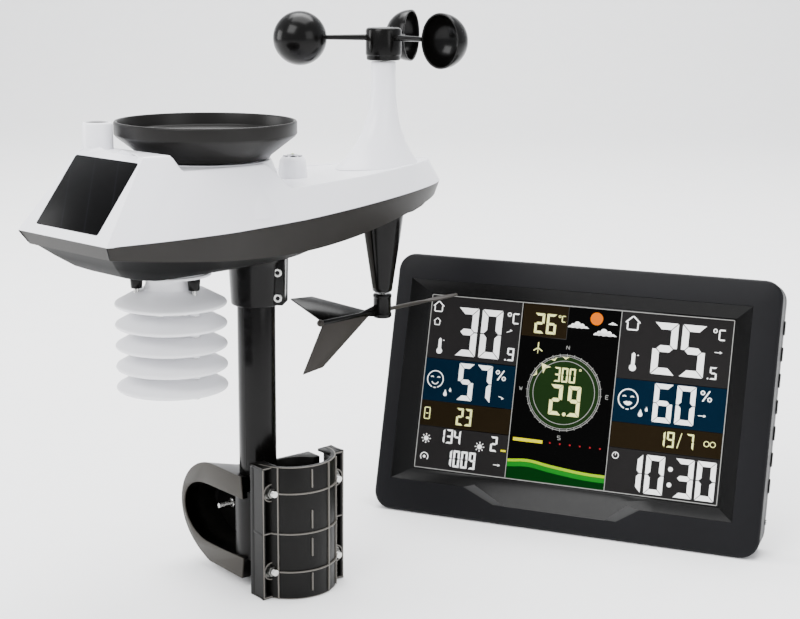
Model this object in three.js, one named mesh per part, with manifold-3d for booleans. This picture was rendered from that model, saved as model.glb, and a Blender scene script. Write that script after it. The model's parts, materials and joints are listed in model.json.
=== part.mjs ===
// Home weather station: a combined outdoor sensor unit on its mast and pole clamp, and the
// table console that shows its readings. Millimetres, +Z up. The origin is on the standing
// surface, under the middle of the whole set.
import * as THREE from "three";
import { mergeVertices } from "three/addons/utils/BufferGeometryUtils.js";
import Module from "manifold-3d";

const wasm = await Module();
wasm.setup();

// ---------------------------------------------------------------- driving dimensions
const GAP = 0.3; // air between touching pieces
const MAST = { x: -125.7, y: -43.1, radius: 13, wall: 1.8, bottom: 30.4, top: 231.4 };
const BODY_YAW = 46.4; // degrees, the boat-shaped housing about the mast
const CLAMP_YAW = 39; // degrees, the pole mount about the mast

// The housing's outline, along its own x axis from the solar stern to the anemometer bow.
const HULL = { stern: -154, bow: 182, widest: -64, half: 55.5, sternHalf: 46, wall: 2.6 };
const STATION_X = [
  -115.8, -99, -93, -88, -64, -38, -22, -8, 4, 34, 64, 94, 118, 138, 153, 164, 171, 175,
]; // closer together where the shape turns
const SEAM = { level: 262, bowRise: 6.5, gap: 0.4 };
const ROOF = { sternX: -115.8, sternHalf: 38.2, stern: 311, seat: 301, deck: 283.6 };
const BELLY = { level: 232, pad: 241, bow: 246.5 };

const FUNNEL = { x: -40.8, rim: 58.8, top: 326.2, bandLow: 317.4, neck: 41.2, neckLow: 302.4 };
const SOLAR = { width: 64, height: 52, thick: 1.3, along: 31.4 };
const LIGHT = { x: -106, y: 24, radius: 7.8, top: 327.5 };
const LEVEL = { x: 33.5, radius: 9.2, top: 296.5 };

const ROTOR = { x: 122.8, hub: 12.8, low: 359, high: 382, arm: 60, cup: 19, cupZ: 374.5 };
const ROTOR_TURNS = [144.6, 24.6, -95.4]; // degrees about the rotor shaft
const STALK = { top: 358, radius: 8.8, aft: 44, fore: 32, half: 21, rings: 7 };
const VANE = { hub: 7, low: 171, high: 189, arm: 176.2, nose: 82.5, tail: 62.8 };
const SHAFT = 2; // radius
const STALK_SIDES = 20;

const SHIELD = { x: -72.4, radius: 36.1, low: 209.6, pitch: 13.75, count: 5, neck: 16 };
const SPACER = { ring: 22, radius: 3.6, rod: 1.7, turns: [154, 274, 34] };
const BUCKET = { z: 268, half: 25, wide: 11, high: 13, axle: 1.5 };
const DOOR = { x0: 40, x1: 94, half: 17.5, thick: 2 };
const CELL_SEATS = [[-7.6, 251.4], [7.6, 251.4], [0, 265.2]]; // y and z of the three cells

const SOCKET = { bore: 13.3, low: 199.6, high: 231.6, lowRadius: 17, highRadius: 18.6 };
const SOCKET_TURN = -54; // degrees from the bow to the socket's clamping lug
const SOCKET_SCREWS = [223, 205.6];
const LUG_SCREW = 17; // from the mast axis to the screws

const HOOK = { half: 18.65, low: 7, high: 81 };
const JAW = { centre: 15.4, half: 34.1, back: 18.1, front: 32.8, top: 94, pipe: 30.6, wall: 3.2 };
const BOLT = { radius: 2.4, spread: 27, low: 19.5, high: 75.5 };
const BASE_BOLT = { n: 43, z: 44 };

const CONSOLE = { x: 219.2, y: 97.5, yaw: -21.6, lean: 16, width: 306, height: 207, depth: 28 };
const FRAME = { depth: 13, corner: 14, wall: 3 };
const SCREEN = { left: -122, right: 117, low: 37, high: 174, thick: 2.4, recess: 6.4 };
const BUTTON = { first: 55, pitch: 19.8, count: 7, long: 11, wide: 4.4, proud: 1.2, at: 20.5 };
const LEG = { hingeV: 88, hingeW: 31.8, reachW: 85, half: 38, thick: 3.6, pin: 2.2 };
const CONSOLE_DOOR = { x0: -130, x1: -58, z0: 60, z1: 128, thick: 2.2 };

// ---------------------------------------------------------------- finishes
const finish = (color, roughness, metalness = 0) =>
  new THREE.MeshStandardMaterial({ color, roughness, metalness });
const WHITE = finish(0xf1f2f6, 0.35);
const SHIELD_WHITE = finish(0xe3e3e8, 0.5);
const DARK = finish(0x3b3a36, 0.45);
const GLOSS_BLACK = finish(0x1c1b19, 0.25);
const FUNNEL_GREY = finish(0x34322f, 0.4);
const CLAMP_BLACK = finish(0x24231f, 0.45);
const CASE_BLACK = finish(0x1f2024, 0.5);
const SCREEN_BLACK = finish(0x0c0c0d, 0.1);
const STEEL = finish(0xb9b9b5, 0.3, 1);
const BRASS = finish(0xb89b52, 0.35, 1);
const BOARD_GREEN = finish(0x1f5b37, 0.6);
const CELL = finish(0x8a8f96, 0.4, 0.6);
const SPIRIT = finish(0xb9d25a, 0.15);

// ---------------------------------------------------------------- solids
const rad = THREE.MathUtils.degToRad;
const clamp01 = (v) => THREE.MathUtils.clamp(v, 0, 1);
const smooth = (a, b, v) => THREE.MathUtils.smoothstep(v, a, b);

// A closed three.js geometry as a solid that can be joined and cut.
function toSolid(geometry) {
  const bare = geometry.clone();
  bare.deleteAttribute("normal");
  bare.deleteAttribute("uv");
  const merged = mergeVertices(bare.index ? bare.toNonIndexed() : bare, 1e-4);
  const index = merged.index.array;
  const kept = [];
  for (let i = 0; i < index.length; i += 3) {
    const [a, b, c] = [index[i], index[i + 1], index[i + 2]];
    if (a !== b && b !== c && a !== c) kept.push(a, b, c);
  }
  const vertProperties = new Float32Array(merged.attributes.position.array);
  const triVerts = new Uint32Array(facingOut(vertProperties, kept));
  return new wasm.Manifold(new wasm.Mesh({ numProp: 3, vertProperties, triVerts }));
}

// The same triangles, turned round where they enclose a negative volume.
function facingOut(points, triangles) {
  const at = (i) => new THREE.Vector3().fromArray(points, 3 * i);
  let volume = 0;
  for (let i = 0; i < triangles.length; i += 3) {
    const [a, b, c] = [at(triangles[i]), at(triangles[i + 1]), at(triangles[i + 2])];
    volume += a.dot(b.cross(c));
  }
  return volume > 0 ? triangles : [...triangles].reverse();
}

function toGeometry(solid) {
  const mesh = solid.getMesh();
  const geometry = new THREE.BufferGeometry();
  geometry.setAttribute("position", new THREE.BufferAttribute(mesh.vertProperties, 3));
  geometry.setIndex(new THREE.BufferAttribute(mesh.triVerts, 1));
  geometry.computeVertexNormals();
  return geometry;
}

const join = (first, ...others) => others.reduce((sum, solid) => sum.add(solid), first);
const cut = (first, ...others) => others.reduce((rest, solid) => rest.subtract(solid), first);

// A box from its lowest to its highest corner.
function box(x0, x1, y0, y1, z0, z1) {
  const geometry = new THREE.BoxGeometry(x1 - x0, y1 - y0, z1 - z0);
  return toSolid(geometry.translate((x0 + x1) / 2, (y0 + y1) / 2, (z0 + z1) / 2));
}

// An upright cone or cylinder between two levels.
function post(x, y, z0, z1, r0, r1 = r0, sides = 24) {
  const geometry = new THREE.CylinderGeometry(r1, r0, z1 - z0, sides);
  return toSolid(geometry.rotateX(Math.PI / 2).translate(x, y, (z0 + z1) / 2));
}

// A cylinder lying along y between two values of y.
function bar(x, z, y0, y1, radius, sides = 16) {
  const geometry = new THREE.CylinderGeometry(radius, radius, y1 - y0, sides);
  return toSolid(geometry.translate(x, (y0 + y1) / 2, z));
}

// A cylinder lying along x between two values of x.
function rod(y, z, x0, x1, radius, sides = 16) {
  const geometry = new THREE.CylinderGeometry(radius, radius, x1 - x0, sides);
  return toSolid(geometry.rotateZ(Math.PI / 2).translate((x0 + x1) / 2, y, z));
}

// A round body about an upright axis, from [radius, z] points that run up the outside.
function turned(points, x = 0, y = 0, sides = 32) {
  const profile = points.map(([r, z]) => new THREE.Vector2(r, z));
  const geometry = new THREE.LatheGeometry(profile, sides);
  return toSolid(geometry.rotateX(Math.PI / 2).translate(x, y, 0));
}

// A prism: an outline in the x, y plane carried up z.
function prism(shape, z0, z1, curveSegments = 6) {
  const settings = { depth: z1 - z0, bevelEnabled: false, curveSegments };
  return toSolid(new THREE.ExtrudeGeometry(shape, settings).translate(0, 0, z0));
}

// A skin over rings of points, closed at each end by rungs between its two opposite sides.
function skin(rings) {
  const sides = rings[0].length;
  const points = rings.flat();
  const triangles = [];
  for (let r = 0; r + 1 < rings.length; r += 1) {
    for (let i = 0; i < sides; i += 1) {
      const j = (i + 1) % sides;
      const [a, b] = [r * sides + i, r * sides + j];
      triangles.push(a, b, b + sides, a, b + sides, a + sides);
    }
  }
  for (const end of [0, rings.length - 1]) {
    const base = end * sides;
    for (let i = 0; i < Math.floor((sides - 1) / 2); i += 1) {
      const [a, b, c, d] = [base + i, base + i + 1, base + sides - 2 - i, base + sides - 1 - i];
      const rung = b === c ? [a, b, d] : [a, b, c, a, c, d];
      triangles.push(...(end === 0 ? rung.reverse() : rung));
    }
  }
  const geometry = new THREE.BufferGeometry();
  geometry.setAttribute("position", new THREE.Float32BufferAttribute(points.flat(), 3));
  geometry.setIndex(triangles);
  return toSolid(geometry);
}

// ---------------------------------------------------------------- the housing's outline
function hullHalf(x) {
  if (x < HULL.widest) {
    const aft = (HULL.widest - x) / (HULL.widest - HULL.stern);
    return HULL.sternHalf + (HULL.half - HULL.sternHalf) * (1 - aft * aft);
  }
  const fore = clamp01((x - HULL.widest) / (HULL.bow - HULL.widest));
  return HULL.half * Math.max(1 - fore ** 1.15, 0) ** 0.57;
}

const seamLevel = (x) => SEAM.level + SEAM.bowRise * Math.max(x / HULL.bow, 0) ** 1.3;

function bandDepth(x) {
  const along = clamp01((x - HULL.stern) / (HULL.bow - HULL.stern));
  return 8 + 14 * Math.sin(Math.PI * along);
}

function bellyLevel(x) {
  const pad = (BELLY.pad - BELLY.level) * smooth(4, 38, x);
  const bow = (BELLY.bow - BELLY.pad) * smooth(96, 130, x);
  const stern = 10 * (1 - smooth(-150, -100, x));
  return BELLY.level + pad + bow + stern;
}

// Fractions of the way from stern to bow.
function stations() {
  const [first, last] = [STATION_X[0], STATION_X[STATION_X.length - 1]];
  return STATION_X.map((x) => (x - first) / (last - first));
}

// One closed ring of the housing, drawn in by inset, with the height given at each point.
function hullRing(inset, level, aftShift = inset, foreShift = inset) {
  const side = stations().map((s) => {
    const x = THREE.MathUtils.lerp(HULL.stern + aftShift, HULL.bow - foreShift, s);
    const full = hullHalf(THREE.MathUtils.lerp(HULL.stern, HULL.bow, s));
    return [x, full * (1 - inset / HULL.half), level(x)];
  });
  const tip = side.pop();
  const near = side.map(([x, y, z]) => [x, -y, z]);
  return [...near, [tip[0], 0, tip[2]], ...side.reverse()];
}

// ---------------------------------------------------------------- sensor unit: housing
const bandFoot = (x) => seamLevel(x) - bandDepth(x);
const trayRim = (x) => seamLevel(x) - SEAM.gap / 2;
const shelfLevel = (x) => Math.min(bandFoot(x) - 1, bellyLevel(x) + 4);

// The outside of the lower housing, from its flat belly up its leaning band to the seam.
function undersideRings(drop) {
  return [
    hullRing(24, (x) => bellyLevel(x) - drop),
    hullRing(10, (x) => shelfLevel(x) - drop),
    hullRing(5, (x) => bandFoot(x) - drop),
    hullRing(0.4, (x) => trayRim(x) - drop),
  ];
}

function lowerHousing() {
  const wall = HULL.wall;
  const tray = skin([
    ...undersideRings(0),
    hullRing(0.4 + wall, trayRim),
    hullRing(6.5 + wall, (x) => bandFoot(x) + wall),
    hullRing(10 + wall, (x) => shelfLevel(x) + wall),
    hullRing(24, (x) => bellyLevel(x) + wall),
  ]);
  const drains = [-1, 1].map((side) => post(FUNNEL.x, side * 20, 225, 245, 2.5, 2.5, 12));
  const cable = post(SHIELD.x, 0, 225, 245, 6, 6, 16);
  const wiring = post(0, 0, 225, 245, 7, 7, 16);
  const vaneBore = post(ROTOR.x, 0, 230, 260, SHAFT + 3.3, SHAFT + 3.3, 20);
  return cut(tray, ...drains, cable, wiring, vaneBore, batteryOpening());
}

function batteryOpening() {
  const { x0, x1, half } = DOOR;
  return box(x0, x1, -half, half, BELLY.pad - 6, BELLY.pad + 6);
}

function sensorBatteryDoor() {
  const { x0, x1, half, thick } = DOOR;
  const plate = box(x0 + GAP, x1 - GAP, -half + GAP, half - GAP, BELLY.pad, BELLY.pad + thick);
  const grip = box(x1 - 9, x1 - 7, -6, 6, BELLY.pad - 1.2, BELLY.pad + 0.1);
  return join(plate, grip);
}

// The roof's height over the seam: high at the stern, a seat for the funnel, a low fore deck.
function roofLevel(x) {
  const step = (ROOF.stern - ROOF.seat) * smooth(-99, -90, x);
  const drop = (ROOF.seat - ROOF.deck) * smooth(-38, 8, x);
  return ROOF.stern - step - drop;
}

// The roof's edge: the side wall leans in as it rises from the seam to the roof.
function roofRing(inset, sink) {
  const lean = 0.27;
  const side = stations().map((s) => {
    const x = THREE.MathUtils.lerp(ROOF.sternX + inset, HULL.bow - 7 - inset, s);
    const z = roofLevel(x) - sink;
    const seamX = THREE.MathUtils.lerp(HULL.stern, HULL.bow, s);
    const full = hullHalf(seamX);
    const reach = 1 - (lean * (z - seamLevel(seamX)) + inset) / HULL.half;
    const half = Math.min(full * reach, ROOF.sternHalf + 0.35 * (x - ROOF.sternX));
    return [x, half, z];
  });
  const tip = side.pop();
  const near = side.map(([x, y, z]) => [x, -y, z]);
  return [...near, [tip[0], 0, tip[2]], ...side.reverse()];
}

function coverBlock(inset) {
  const foot = inset > 0 ? -6 : SEAM.gap / 2;
  const edge = 1.2; // the roof edge's bevel
  return skin([
    hullRing(inset, (x) => seamLevel(x) + foot, inset * 1.3),
    hullRing(inset, (x) => seamLevel(x) + SEAM.gap / 2 + 0.5, inset * 1.3 + 0.4),
    roofRing(inset + 0.4, inset + edge),
    roofRing(inset + 0.4 + edge, inset),
  ]);
}

// The plane of the solar face: its foot, its slope and a box laid on it.
const SLOPE_RUN = ROOF.sternX - HULL.stern;
const SLOPE_RISE = ROOF.stern - SEAM.level;
const SLOPE = Math.atan2(SLOPE_RISE, SLOPE_RUN);

function onSlope(width, height, thick, along, lift) {
  const geometry = new THREE.BoxGeometry(height, width, thick);
  geometry.translate(along, 0, lift).rotateY(-SLOPE);
  return toSolid(geometry.translate(HULL.stern, 0, SEAM.level));
}

function upperCover() {
  const seat = FUNNEL.neckLow - GAP;
  const collar = (grow) =>
    post(FUNNEL.x, 0, seat - 36, seat - grow, 57 - grow, FUNNEL.neck + 0.4 - grow, 28);
  const lightPost = post(LIGHT.x, LIGHT.y, 300, LIGHT.top, LIGHT.radius, LIGHT.radius, 16);
  const turret = turned([
    [0, 280], [LEVEL.radius, 280], [LEVEL.radius, 292], [7.4, LEVEL.top], [0, LEVEL.top],
  ], LEVEL.x, 0, 16);
  const outside = join(coverBlock(0), collar(0), lightPost, turret);
  const inside = join(coverBlock(HULL.wall), collar(HULL.wall));
  const funnelBore = post(FUNNEL.x, 0, 280, 320, 38.8, 38.8, 28);
  const lightBore = post(LIGHT.x, LIGHT.y, LIGHT.top - 3, LIGHT.top + 5, 5.8, 5.8, 16);
  const levelBore = post(LEVEL.x, 0, LEVEL.top - 6, LEVEL.top + 5, 6.3, 6.3, 16);
  const shaftBore = post(ROTOR.x, 0, 270, 300, 5.6, 5.6, 20);
  const recess = onSlope(SOLAR.width + 2 * GAP, SOLAR.height + 2 * GAP, 8, SOLAR.along, 4 - 1.6);
  return cut(outside, inside, funnelBore, lightBore, levelBore, shaftBore, recess);
}

function solarPanel() {
  return onSlope(SOLAR.width, SOLAR.height, SOLAR.thick, SOLAR.along, -1.3 + SOLAR.thick / 2);
}

const lightSensorLens = () => post(LIGHT.x, LIGHT.y, LIGHT.top - 2.7, LIGHT.top - 1.2, 5.5, 5.5, 16);
const levelVial = () => post(LEVEL.x, 0, LEVEL.top - 5.7, LEVEL.top - 1, 6, 5.6, 16);

// ---------------------------------------------------------------- sensor unit: rain gauge
function rainFunnel() {
  const { rim, top, bandLow, neck, neckLow } = FUNNEL;
  return turned([
    [4.6, 290], [7.2, 290], [7.2, 301], [46, 311.6], [36.2, 303.4], [36.2, 294.5],
    [38.4, 294.5], [38.4, neckLow], [neck, neckLow], [neck + 0.2, neckLow + 0.8],
    [rim, bandLow], [rim, top], [rim - 2, top], [rim - 2.6, bandLow + 0.6], [4.6, 303], [4.6, 290],
  ], FUNNEL.x, 0, 26);
}

function debrisScreen() {
  const dish = post(FUNNEL.x, 0, 307.4, 309.2, 13, 12, 24);
  const foot = turned([
    [3.1, 303.6], [4.1, 303.6], [4.1, 307.6], [3.1, 307.6], [3.1, 303.6],
  ], FUNNEL.x, 0, 20);
  const legs = [0, 120, 240].map((turn) => {
    const spot = [FUNNEL.x + 11 * Math.cos(rad(turn)), 11 * Math.sin(rad(turn))];
    return post(spot[0], spot[1], 305.4, 307.6, 0.8, 0.8, 8);
  });
  const slots = [-6, 0, 6].map((y) => box(FUNNEL.x - 6, FUNNEL.x + 6, y - 0.9, y + 0.9, 306, 310));
  return cut(join(dish, foot, ...legs), ...slots);
}

function tippingBucket() {
  const { z, half, wide, high } = BUCKET;
  const side = new THREE.Shape();
  side.moveTo(-half, z + 3).lineTo(-4, z - 5).lineTo(4, z - 5).lineTo(half, z + 3);
  side.lineTo(half - 1.5, z + high - 3).lineTo(0, z + high).lineTo(-half + 1.5, z + high - 3);
  const block = upright(side, -wide, wide);
  const scoop = (sign) => {
    const hollow = new THREE.Shape();
    hollow.moveTo(sign * 1, z + high + 1).lineTo(sign * 1, z - 2.5).lineTo(sign * 4.5, z - 3.4);
    hollow.lineTo(sign * (half + 1), z + 4.4).lineTo(sign * (half + 1), z + high + 1);
    return upright(hollow, -wide + 1.4, wide - 1.4);
  };
  const bore = rod(0, z - 1, FUNNEL.x - 14, FUNNEL.x + 14, BUCKET.axle + GAP, 14);
  const keel = rod(0, z - 1, FUNNEL.x - wide, FUNNEL.x + wide, 3.4, 16);
  return cut(join(cut(block, scoop(1), scoop(-1)), keel), bore);
}

// An outline in the y, z plane carried along x either side of the funnel's middle.
function upright(shape, x0, x1) {
  const geometry = new THREE.ExtrudeGeometry(shape, { depth: x1 - x0, bevelEnabled: false });
  const turn = new THREE.Matrix4().makeBasis(
    new THREE.Vector3(0, 1, 0), new THREE.Vector3(0, 0, 1), new THREE.Vector3(1, 0, 0));
  return toSolid(geometry.applyMatrix4(turn).translate(FUNNEL.x + x0, 0, 0));
}

const bucketAxle = () => rod(0, BUCKET.z - 1, FUNNEL.x - 15.5, FUNNEL.x + 15.5, BUCKET.axle, 12);

function bucketCradle() {
  const base = box(FUNNEL.x - 17, FUNNEL.x + 17, -12, 12, 238, 240.5);
  const cheeks = [-1, 1].map((side) => {
    const [a, b] = [FUNNEL.x + side * 13, FUNNEL.x + side * 16.5].sort((p, q) => p - q);
    return box(a, b, -5, 5, 240, BUCKET.z + 5);
  });
  const bore = rod(0, BUCKET.z - 1, FUNNEL.x - 16, FUNNEL.x + 16, BUCKET.axle + GAP, 12);
  return cut(join(base, ...cheeks), bore);
}

// ---------------------------------------------------------------- sensor unit: wind parts
function anemometerStalk() {
  const rings = [];
  const foot = ROOF.deck + GAP;
  for (let i = 0; i <= STALK.rings; i += 1) {
    const up = (i / STALK.rings) ** 1.4;
    const spread = (1 - up) ** 2.6;
    const around = [];
    for (let k = 0; k < STALK_SIDES; k += 1) {
      const turn = (k / STALK_SIDES) * 2 * Math.PI;
      const reach = Math.cos(turn) < 0 ? STALK.aft : STALK.fore;
      const rx = THREE.MathUtils.lerp(STALK.radius, reach, spread);
      const ry = THREE.MathUtils.lerp(STALK.radius, STALK.half, spread);
      const z = foot + (STALK.top - foot) * up;
      around.push([ROTOR.x + rx * Math.cos(turn), ry * Math.sin(turn), z]);
    }
    rings.push(around);
  }
  return cut(skin(rings), post(ROTOR.x, 0, 270, 370, 5.6, 5.6, 20));
}

const ring = (z0, z1, inner, outer) =>
  turned([[inner, z0], [outer, z0], [outer, z1], [inner, z1], [inner, z0]], ROTOR.x, 0, 24);
const rotorBearing = () => ring(349, 356, SHAFT + GAP, 5.3);
const rotorShaft = () => post(ROTOR.x, 0, 300, 380, SHAFT, SHAFT, 16);

function cupRotor() {
  const { hub, low, high, arm, cup, cupZ } = ROTOR;
  const edge = 1.5;
  const cap = turned([
    [0, low], [hub, low], [hub, high - edge], [hub - edge, high], [0, high],
  ], ROTOR.x, 0, 20);
  const bore = post(ROTOR.x, 0, low - 1, 380 + GAP, SHAFT + GAP, SHAFT + GAP, 16);
  const pieces = ROTOR_TURNS.map((turn) => {
    const spoke = rod(0, cupZ + 0.6, hub - 2, arm - cup + 1.2, 1.6, 10);
    const wall = 1.5;
    const arc = (radius, steps) => Array.from({ length: steps + 1 }, (_, i) => {
      const angle = (i / steps) * (Math.PI / 2);
      return [radius * Math.sin(angle), -radius * Math.cos(angle)];
    });
    const bowl = turned([...arc(cup, 5), ...arc(cup - wall, 5).reverse()], 0, 0, 16);
    // The bowl's mouth opens along -y here: clockwise about the shaft, seen from above.
    const shell = bowl.rotate([90, 0, 0]).translate([arm, 0, cupZ]);
    return join(spoke, shell).rotate([0, 0, turn]).translate([ROTOR.x, 0, 0]);
  });
  return cut(join(cap, ...pieces), bore);
}

function vaneTurret() {
  const cone = turned([
    [SHAFT + 3.3, 244], [SHAFT + 3.3, 200], [SHAFT + GAP, 199], [SHAFT + GAP, 190.6], [7.3, 190.6],
    [14, 236], [15.6, 252], [SHAFT + 3.3, 252], [SHAFT + 3.3, 244],
  ], ROTOR.x, 0, 24);
  return cut(cone, skin(undersideRings(GAP)));
}

const vaneBearing = () => ring(201, 207, SHAFT + GAP, SHAFT + 3);
const vaneShaft = () => post(ROTOR.x, 0, 174, 258, SHAFT, SHAFT, 16);

// A flat tail fin with its root on the boom, turned about the boom by its cant.
function tailFin(sweep, length, cant) {
  const { tail } = VANE;
  const root = 3.3;
  const outline = new THREE.Shape();
  outline.moveTo(-12, 0).lineTo(-root - tail + 6.2, 0);
  outline.lineTo(-root - tail + 6.2 - sweep, length).lineTo(-tail + 22 - sweep, length - 2);
  const geometry = new THREE.ExtrudeGeometry(outline, { depth: 1.2, bevelEnabled: false });
  return toSolid(geometry.translate(0, 0, -0.6).rotateX(rad(cant)).translate(ROTOR.x, 0, VANE.arm));
}

function windVane() {
  const { hub, low, high, arm, nose, tail } = VANE;
  const boss = turned([
    [0, low], [hub - 1, low], [hub, low + 1], [hub, high - 1], [hub - 1, high], [0, high],
  ], ROTOR.x, 0, 24);
  const boom = rod(0, arm, ROTOR.x - tail, ROTOR.x - hub + 2, 1.7, 10);
  const knob = toSolid(new THREE.SphereGeometry(2.6, 12, 8).translate(ROTOR.x - tail, 0, arm));
  const stem = rod(0, arm, ROTOR.x + hub - 2, ROTOR.x + nose - 26, 1.5, 10);
  const leaf = new THREE.Shape();
  leaf.moveTo(nose - 38, -1).quadraticCurveTo(nose - 28, -4.2, nose - 14, -4.2);
  leaf.quadraticCurveTo(nose - 2, -4, nose, 0).quadraticCurveTo(nose - 2, 4, nose - 14, 4.2);
  leaf.quadraticCurveTo(nose - 28, 4.2, nose - 38, 1);
  const blade = prism(leaf, arm - 1.1, arm + 1.1, 5).translate([ROTOR.x, 0, 0]);
  const bore = post(ROTOR.x, 0, 174 - GAP, high + 1, SHAFT + GAP, SHAFT + GAP, 16);
  // One fin hangs straight down and the other lifts to the far side.
  const fins = [tailFin(20, 34.6, -90), tailFin(5, 32, 25)];
  return cut(join(boss, boom, knob, stem, blade, ...fins), bore);
}

// ---------------------------------------------------------------- sensor unit: climate shield
function shieldPlate(index) {
  const low = SHIELD.low - index * SHIELD.pitch;
  const { radius, neck } = SHIELD;
  const outer = index === 0
    ? [[radius, low + 2.2], [23, low + 9.6], [neck + 1.6, low + 11.6], [neck, low + 14],
      [neck, low + 19.6], [27, low + 20.2], [26, low + 21.6], [11, low + 21.6], [11, low + 9]]
    : [[radius, low + 2.2], [22, low + 9.6], [17, low + 9.6], [17, low + 7.6]];
  const start = [radius - 1.8, low];
  const plate = turned([start, ...outer, [22, low + 7.4], start], SHIELD.x, 0, 22);
  return cut(plate, ...SPACER.turns.map((turn) => spacerPost(turn, 140, 226, SPACER.rod + GAP)));
}

function spacerPost(turn, z0, z1, radius) {
  const x = SHIELD.x + SPACER.ring * Math.cos(rad(turn));
  return post(x, SPACER.ring * Math.sin(rad(turn)), z0, z1, radius, radius, 8);
}

// A long screw through all five plates, with a head below and a sleeve above.
function shieldSpacer(turn) {
  const head = spacerPost(turn, 150.6, 154.3, 3.2);
  const shank = spacerPost(turn, 154, 222.6, SPACER.rod);
  return join(head, shank, spacerPost(turn, 221.9, 228.9, SPACER.radius));
}

function climateProbe() {
  const body = box(SHIELD.x - 5, SHIELD.x + 5, -2.5, 2.5, 176, 214);
  return join(body, post(SHIELD.x, 0, 213, 228, 4.4, 4.4, 16));
}

// ---------------------------------------------------------------- sensor unit: mast
function mastTube() {
  const { radius, wall, bottom, top } = MAST;
  const inside = radius - wall;
  return cut(
    post(0, 0, bottom, top, radius, radius, 28),
    post(0, 0, bottom - 1, top + 1, inside, inside, 28));
}

// A tapered collar under the housing, split along its clamping lug.
function mastSocket() {
  const { bore, low, high, lowRadius, highRadius } = SOCKET;
  const wall = turned([
    [bore, low], [lowRadius, low], [highRadius, high], [bore, high], [bore, low],
  ], 0, 0, 28);
  const turn = (solid) => solid.rotate([0, 0, SOCKET_TURN]);
  const lug = cut(turn(box(12, 21, -5.2, 5.2, low + 0.6, high)), post(0, 0, 190, 240, bore, bore, 32));
  const slit = turn(box(10, 30, -0.8, 0.8, 190, 240));
  const bores = SOCKET_SCREWS.map((z) => turn(bar(LUG_SCREW, z, -9, 9, 1.6 + GAP, 12)));
  const pockets = SOCKET_SCREWS.map((z) => turn(bar(LUG_SCREW, z, -9, -2.8, 3.5, 16)));
  return cut(join(wall, lug), slit, ...bores, ...pockets);
}

function socketScrew(z) {
  const head = bar(LUG_SCREW, z, -5, -3.1, 3.2, 16);
  const hex = bar(LUG_SCREW, z, -6, -3.9, 1.5, 6);
  const shank = bar(LUG_SCREW, z, -3.4, 6.4, 1.6, 12);
  return cut(join(head, shank), hex).rotate([0, 0, SOCKET_TURN]);
}

// ---------------------------------------------------------------- sensor unit: electronics
const sensorBoard = () => box(-22, 38, -21, 21, 246.4, 248);

function batteryCell([y, z]) {
  return join(rod(y, z, 42, 91, 7.2, 20), rod(y, z, 90, 92.4, 2.6, 12));
}

// ---------------------------------------------------------------- pole mount
// Here x runs along the jaw and -y points out through the clamp.
function hookOutline(grow) {
  const shape = new THREE.Shape();
  const [low, high] = [HOOK.low + grow, HOOK.high - grow];
  const middle = (HOOK.low + HOOK.high) / 2;
  shape.moveTo(-6 + grow, high).lineTo(30, high);
  shape.bezierCurveTo(56, high, 73.5 - grow, 62, 73.5 - grow, middle);
  shape.bezierCurveTo(73.5 - grow, 26, 58, low + 6, 36, low);
  shape.lineTo(-6 + grow, low);
  return shape;
}

// An outline in the y, z plane carried along x.
function across(shape, x0, x1) {
  const settings = { depth: x1 - x0, bevelEnabled: false, curveSegments: 8 };
  const geometry = new THREE.ExtrudeGeometry(shape, settings);
  const turn = new THREE.Matrix4().makeBasis(
    new THREE.Vector3(0, 1, 0), new THREE.Vector3(0, 0, 1), new THREE.Vector3(1, 0, 0));
  return toSolid(geometry.applyMatrix4(turn).translate(x0, 0, 0));
}

function mountingBase() {
  const body = across(hookOutline(0), -HOOK.half, HOOK.half);
  const throat = new THREE.Shape();
  throat.moveTo(-8, 65.4).lineTo(38, 64.4).bezierCurveTo(58, 64, 69, 54, 69, 43);
  throat.bezierCurveTo(69, 32, 58, 22, 40, 21).lineTo(-8, 22.6);
  const cavity = across(throat, -HOOK.half - 1, 9);
  const tube = post(0, 0, 20, 70, 16.3, 16.3, 28);
  const saddle = box(JAW.centre - 25, JAW.centre + 25, -17.6, -3.6, 0, 88);
  const bore = post(0, 0, MAST.bottom - GAP, 100, MAST.radius + GAP, MAST.radius + GAP, 32);
  const groove = post(JAW.centre, -30, -1, 90, 23, 23, 32);
  const nutBore = rod(BASE_BOLT.n, BASE_BOLT.z, 0, 25, 2 + GAP, 14);
  const bolts = boltSpots().map(([x, z]) => bar(x, z, -20, -10.4, BOLT.radius + GAP, 12));
  return cut(join(cut(body, cavity), tube, saddle), bore, groove, nutBore, ...bolts);
}

function baseBolt() {
  const { n, z } = BASE_BOLT;
  const shank = rod(n, z, -6, 19.4, 2, 14);
  const head = rod(n, z, HOOK.half + GAP, HOOK.half + 3.6, 4.2, 6);
  return join(shank, head, rod(n, z, 5, 9 - GAP, 3.8, 6));
}

function boltSpots() {
  const spots = [];
  for (const side of [-1, 1]) {
    for (const z of [BOLT.low, BOLT.high]) spots.push([JAW.centre + side * BOLT.spread, z]);
  }
  return spots;
}

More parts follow.
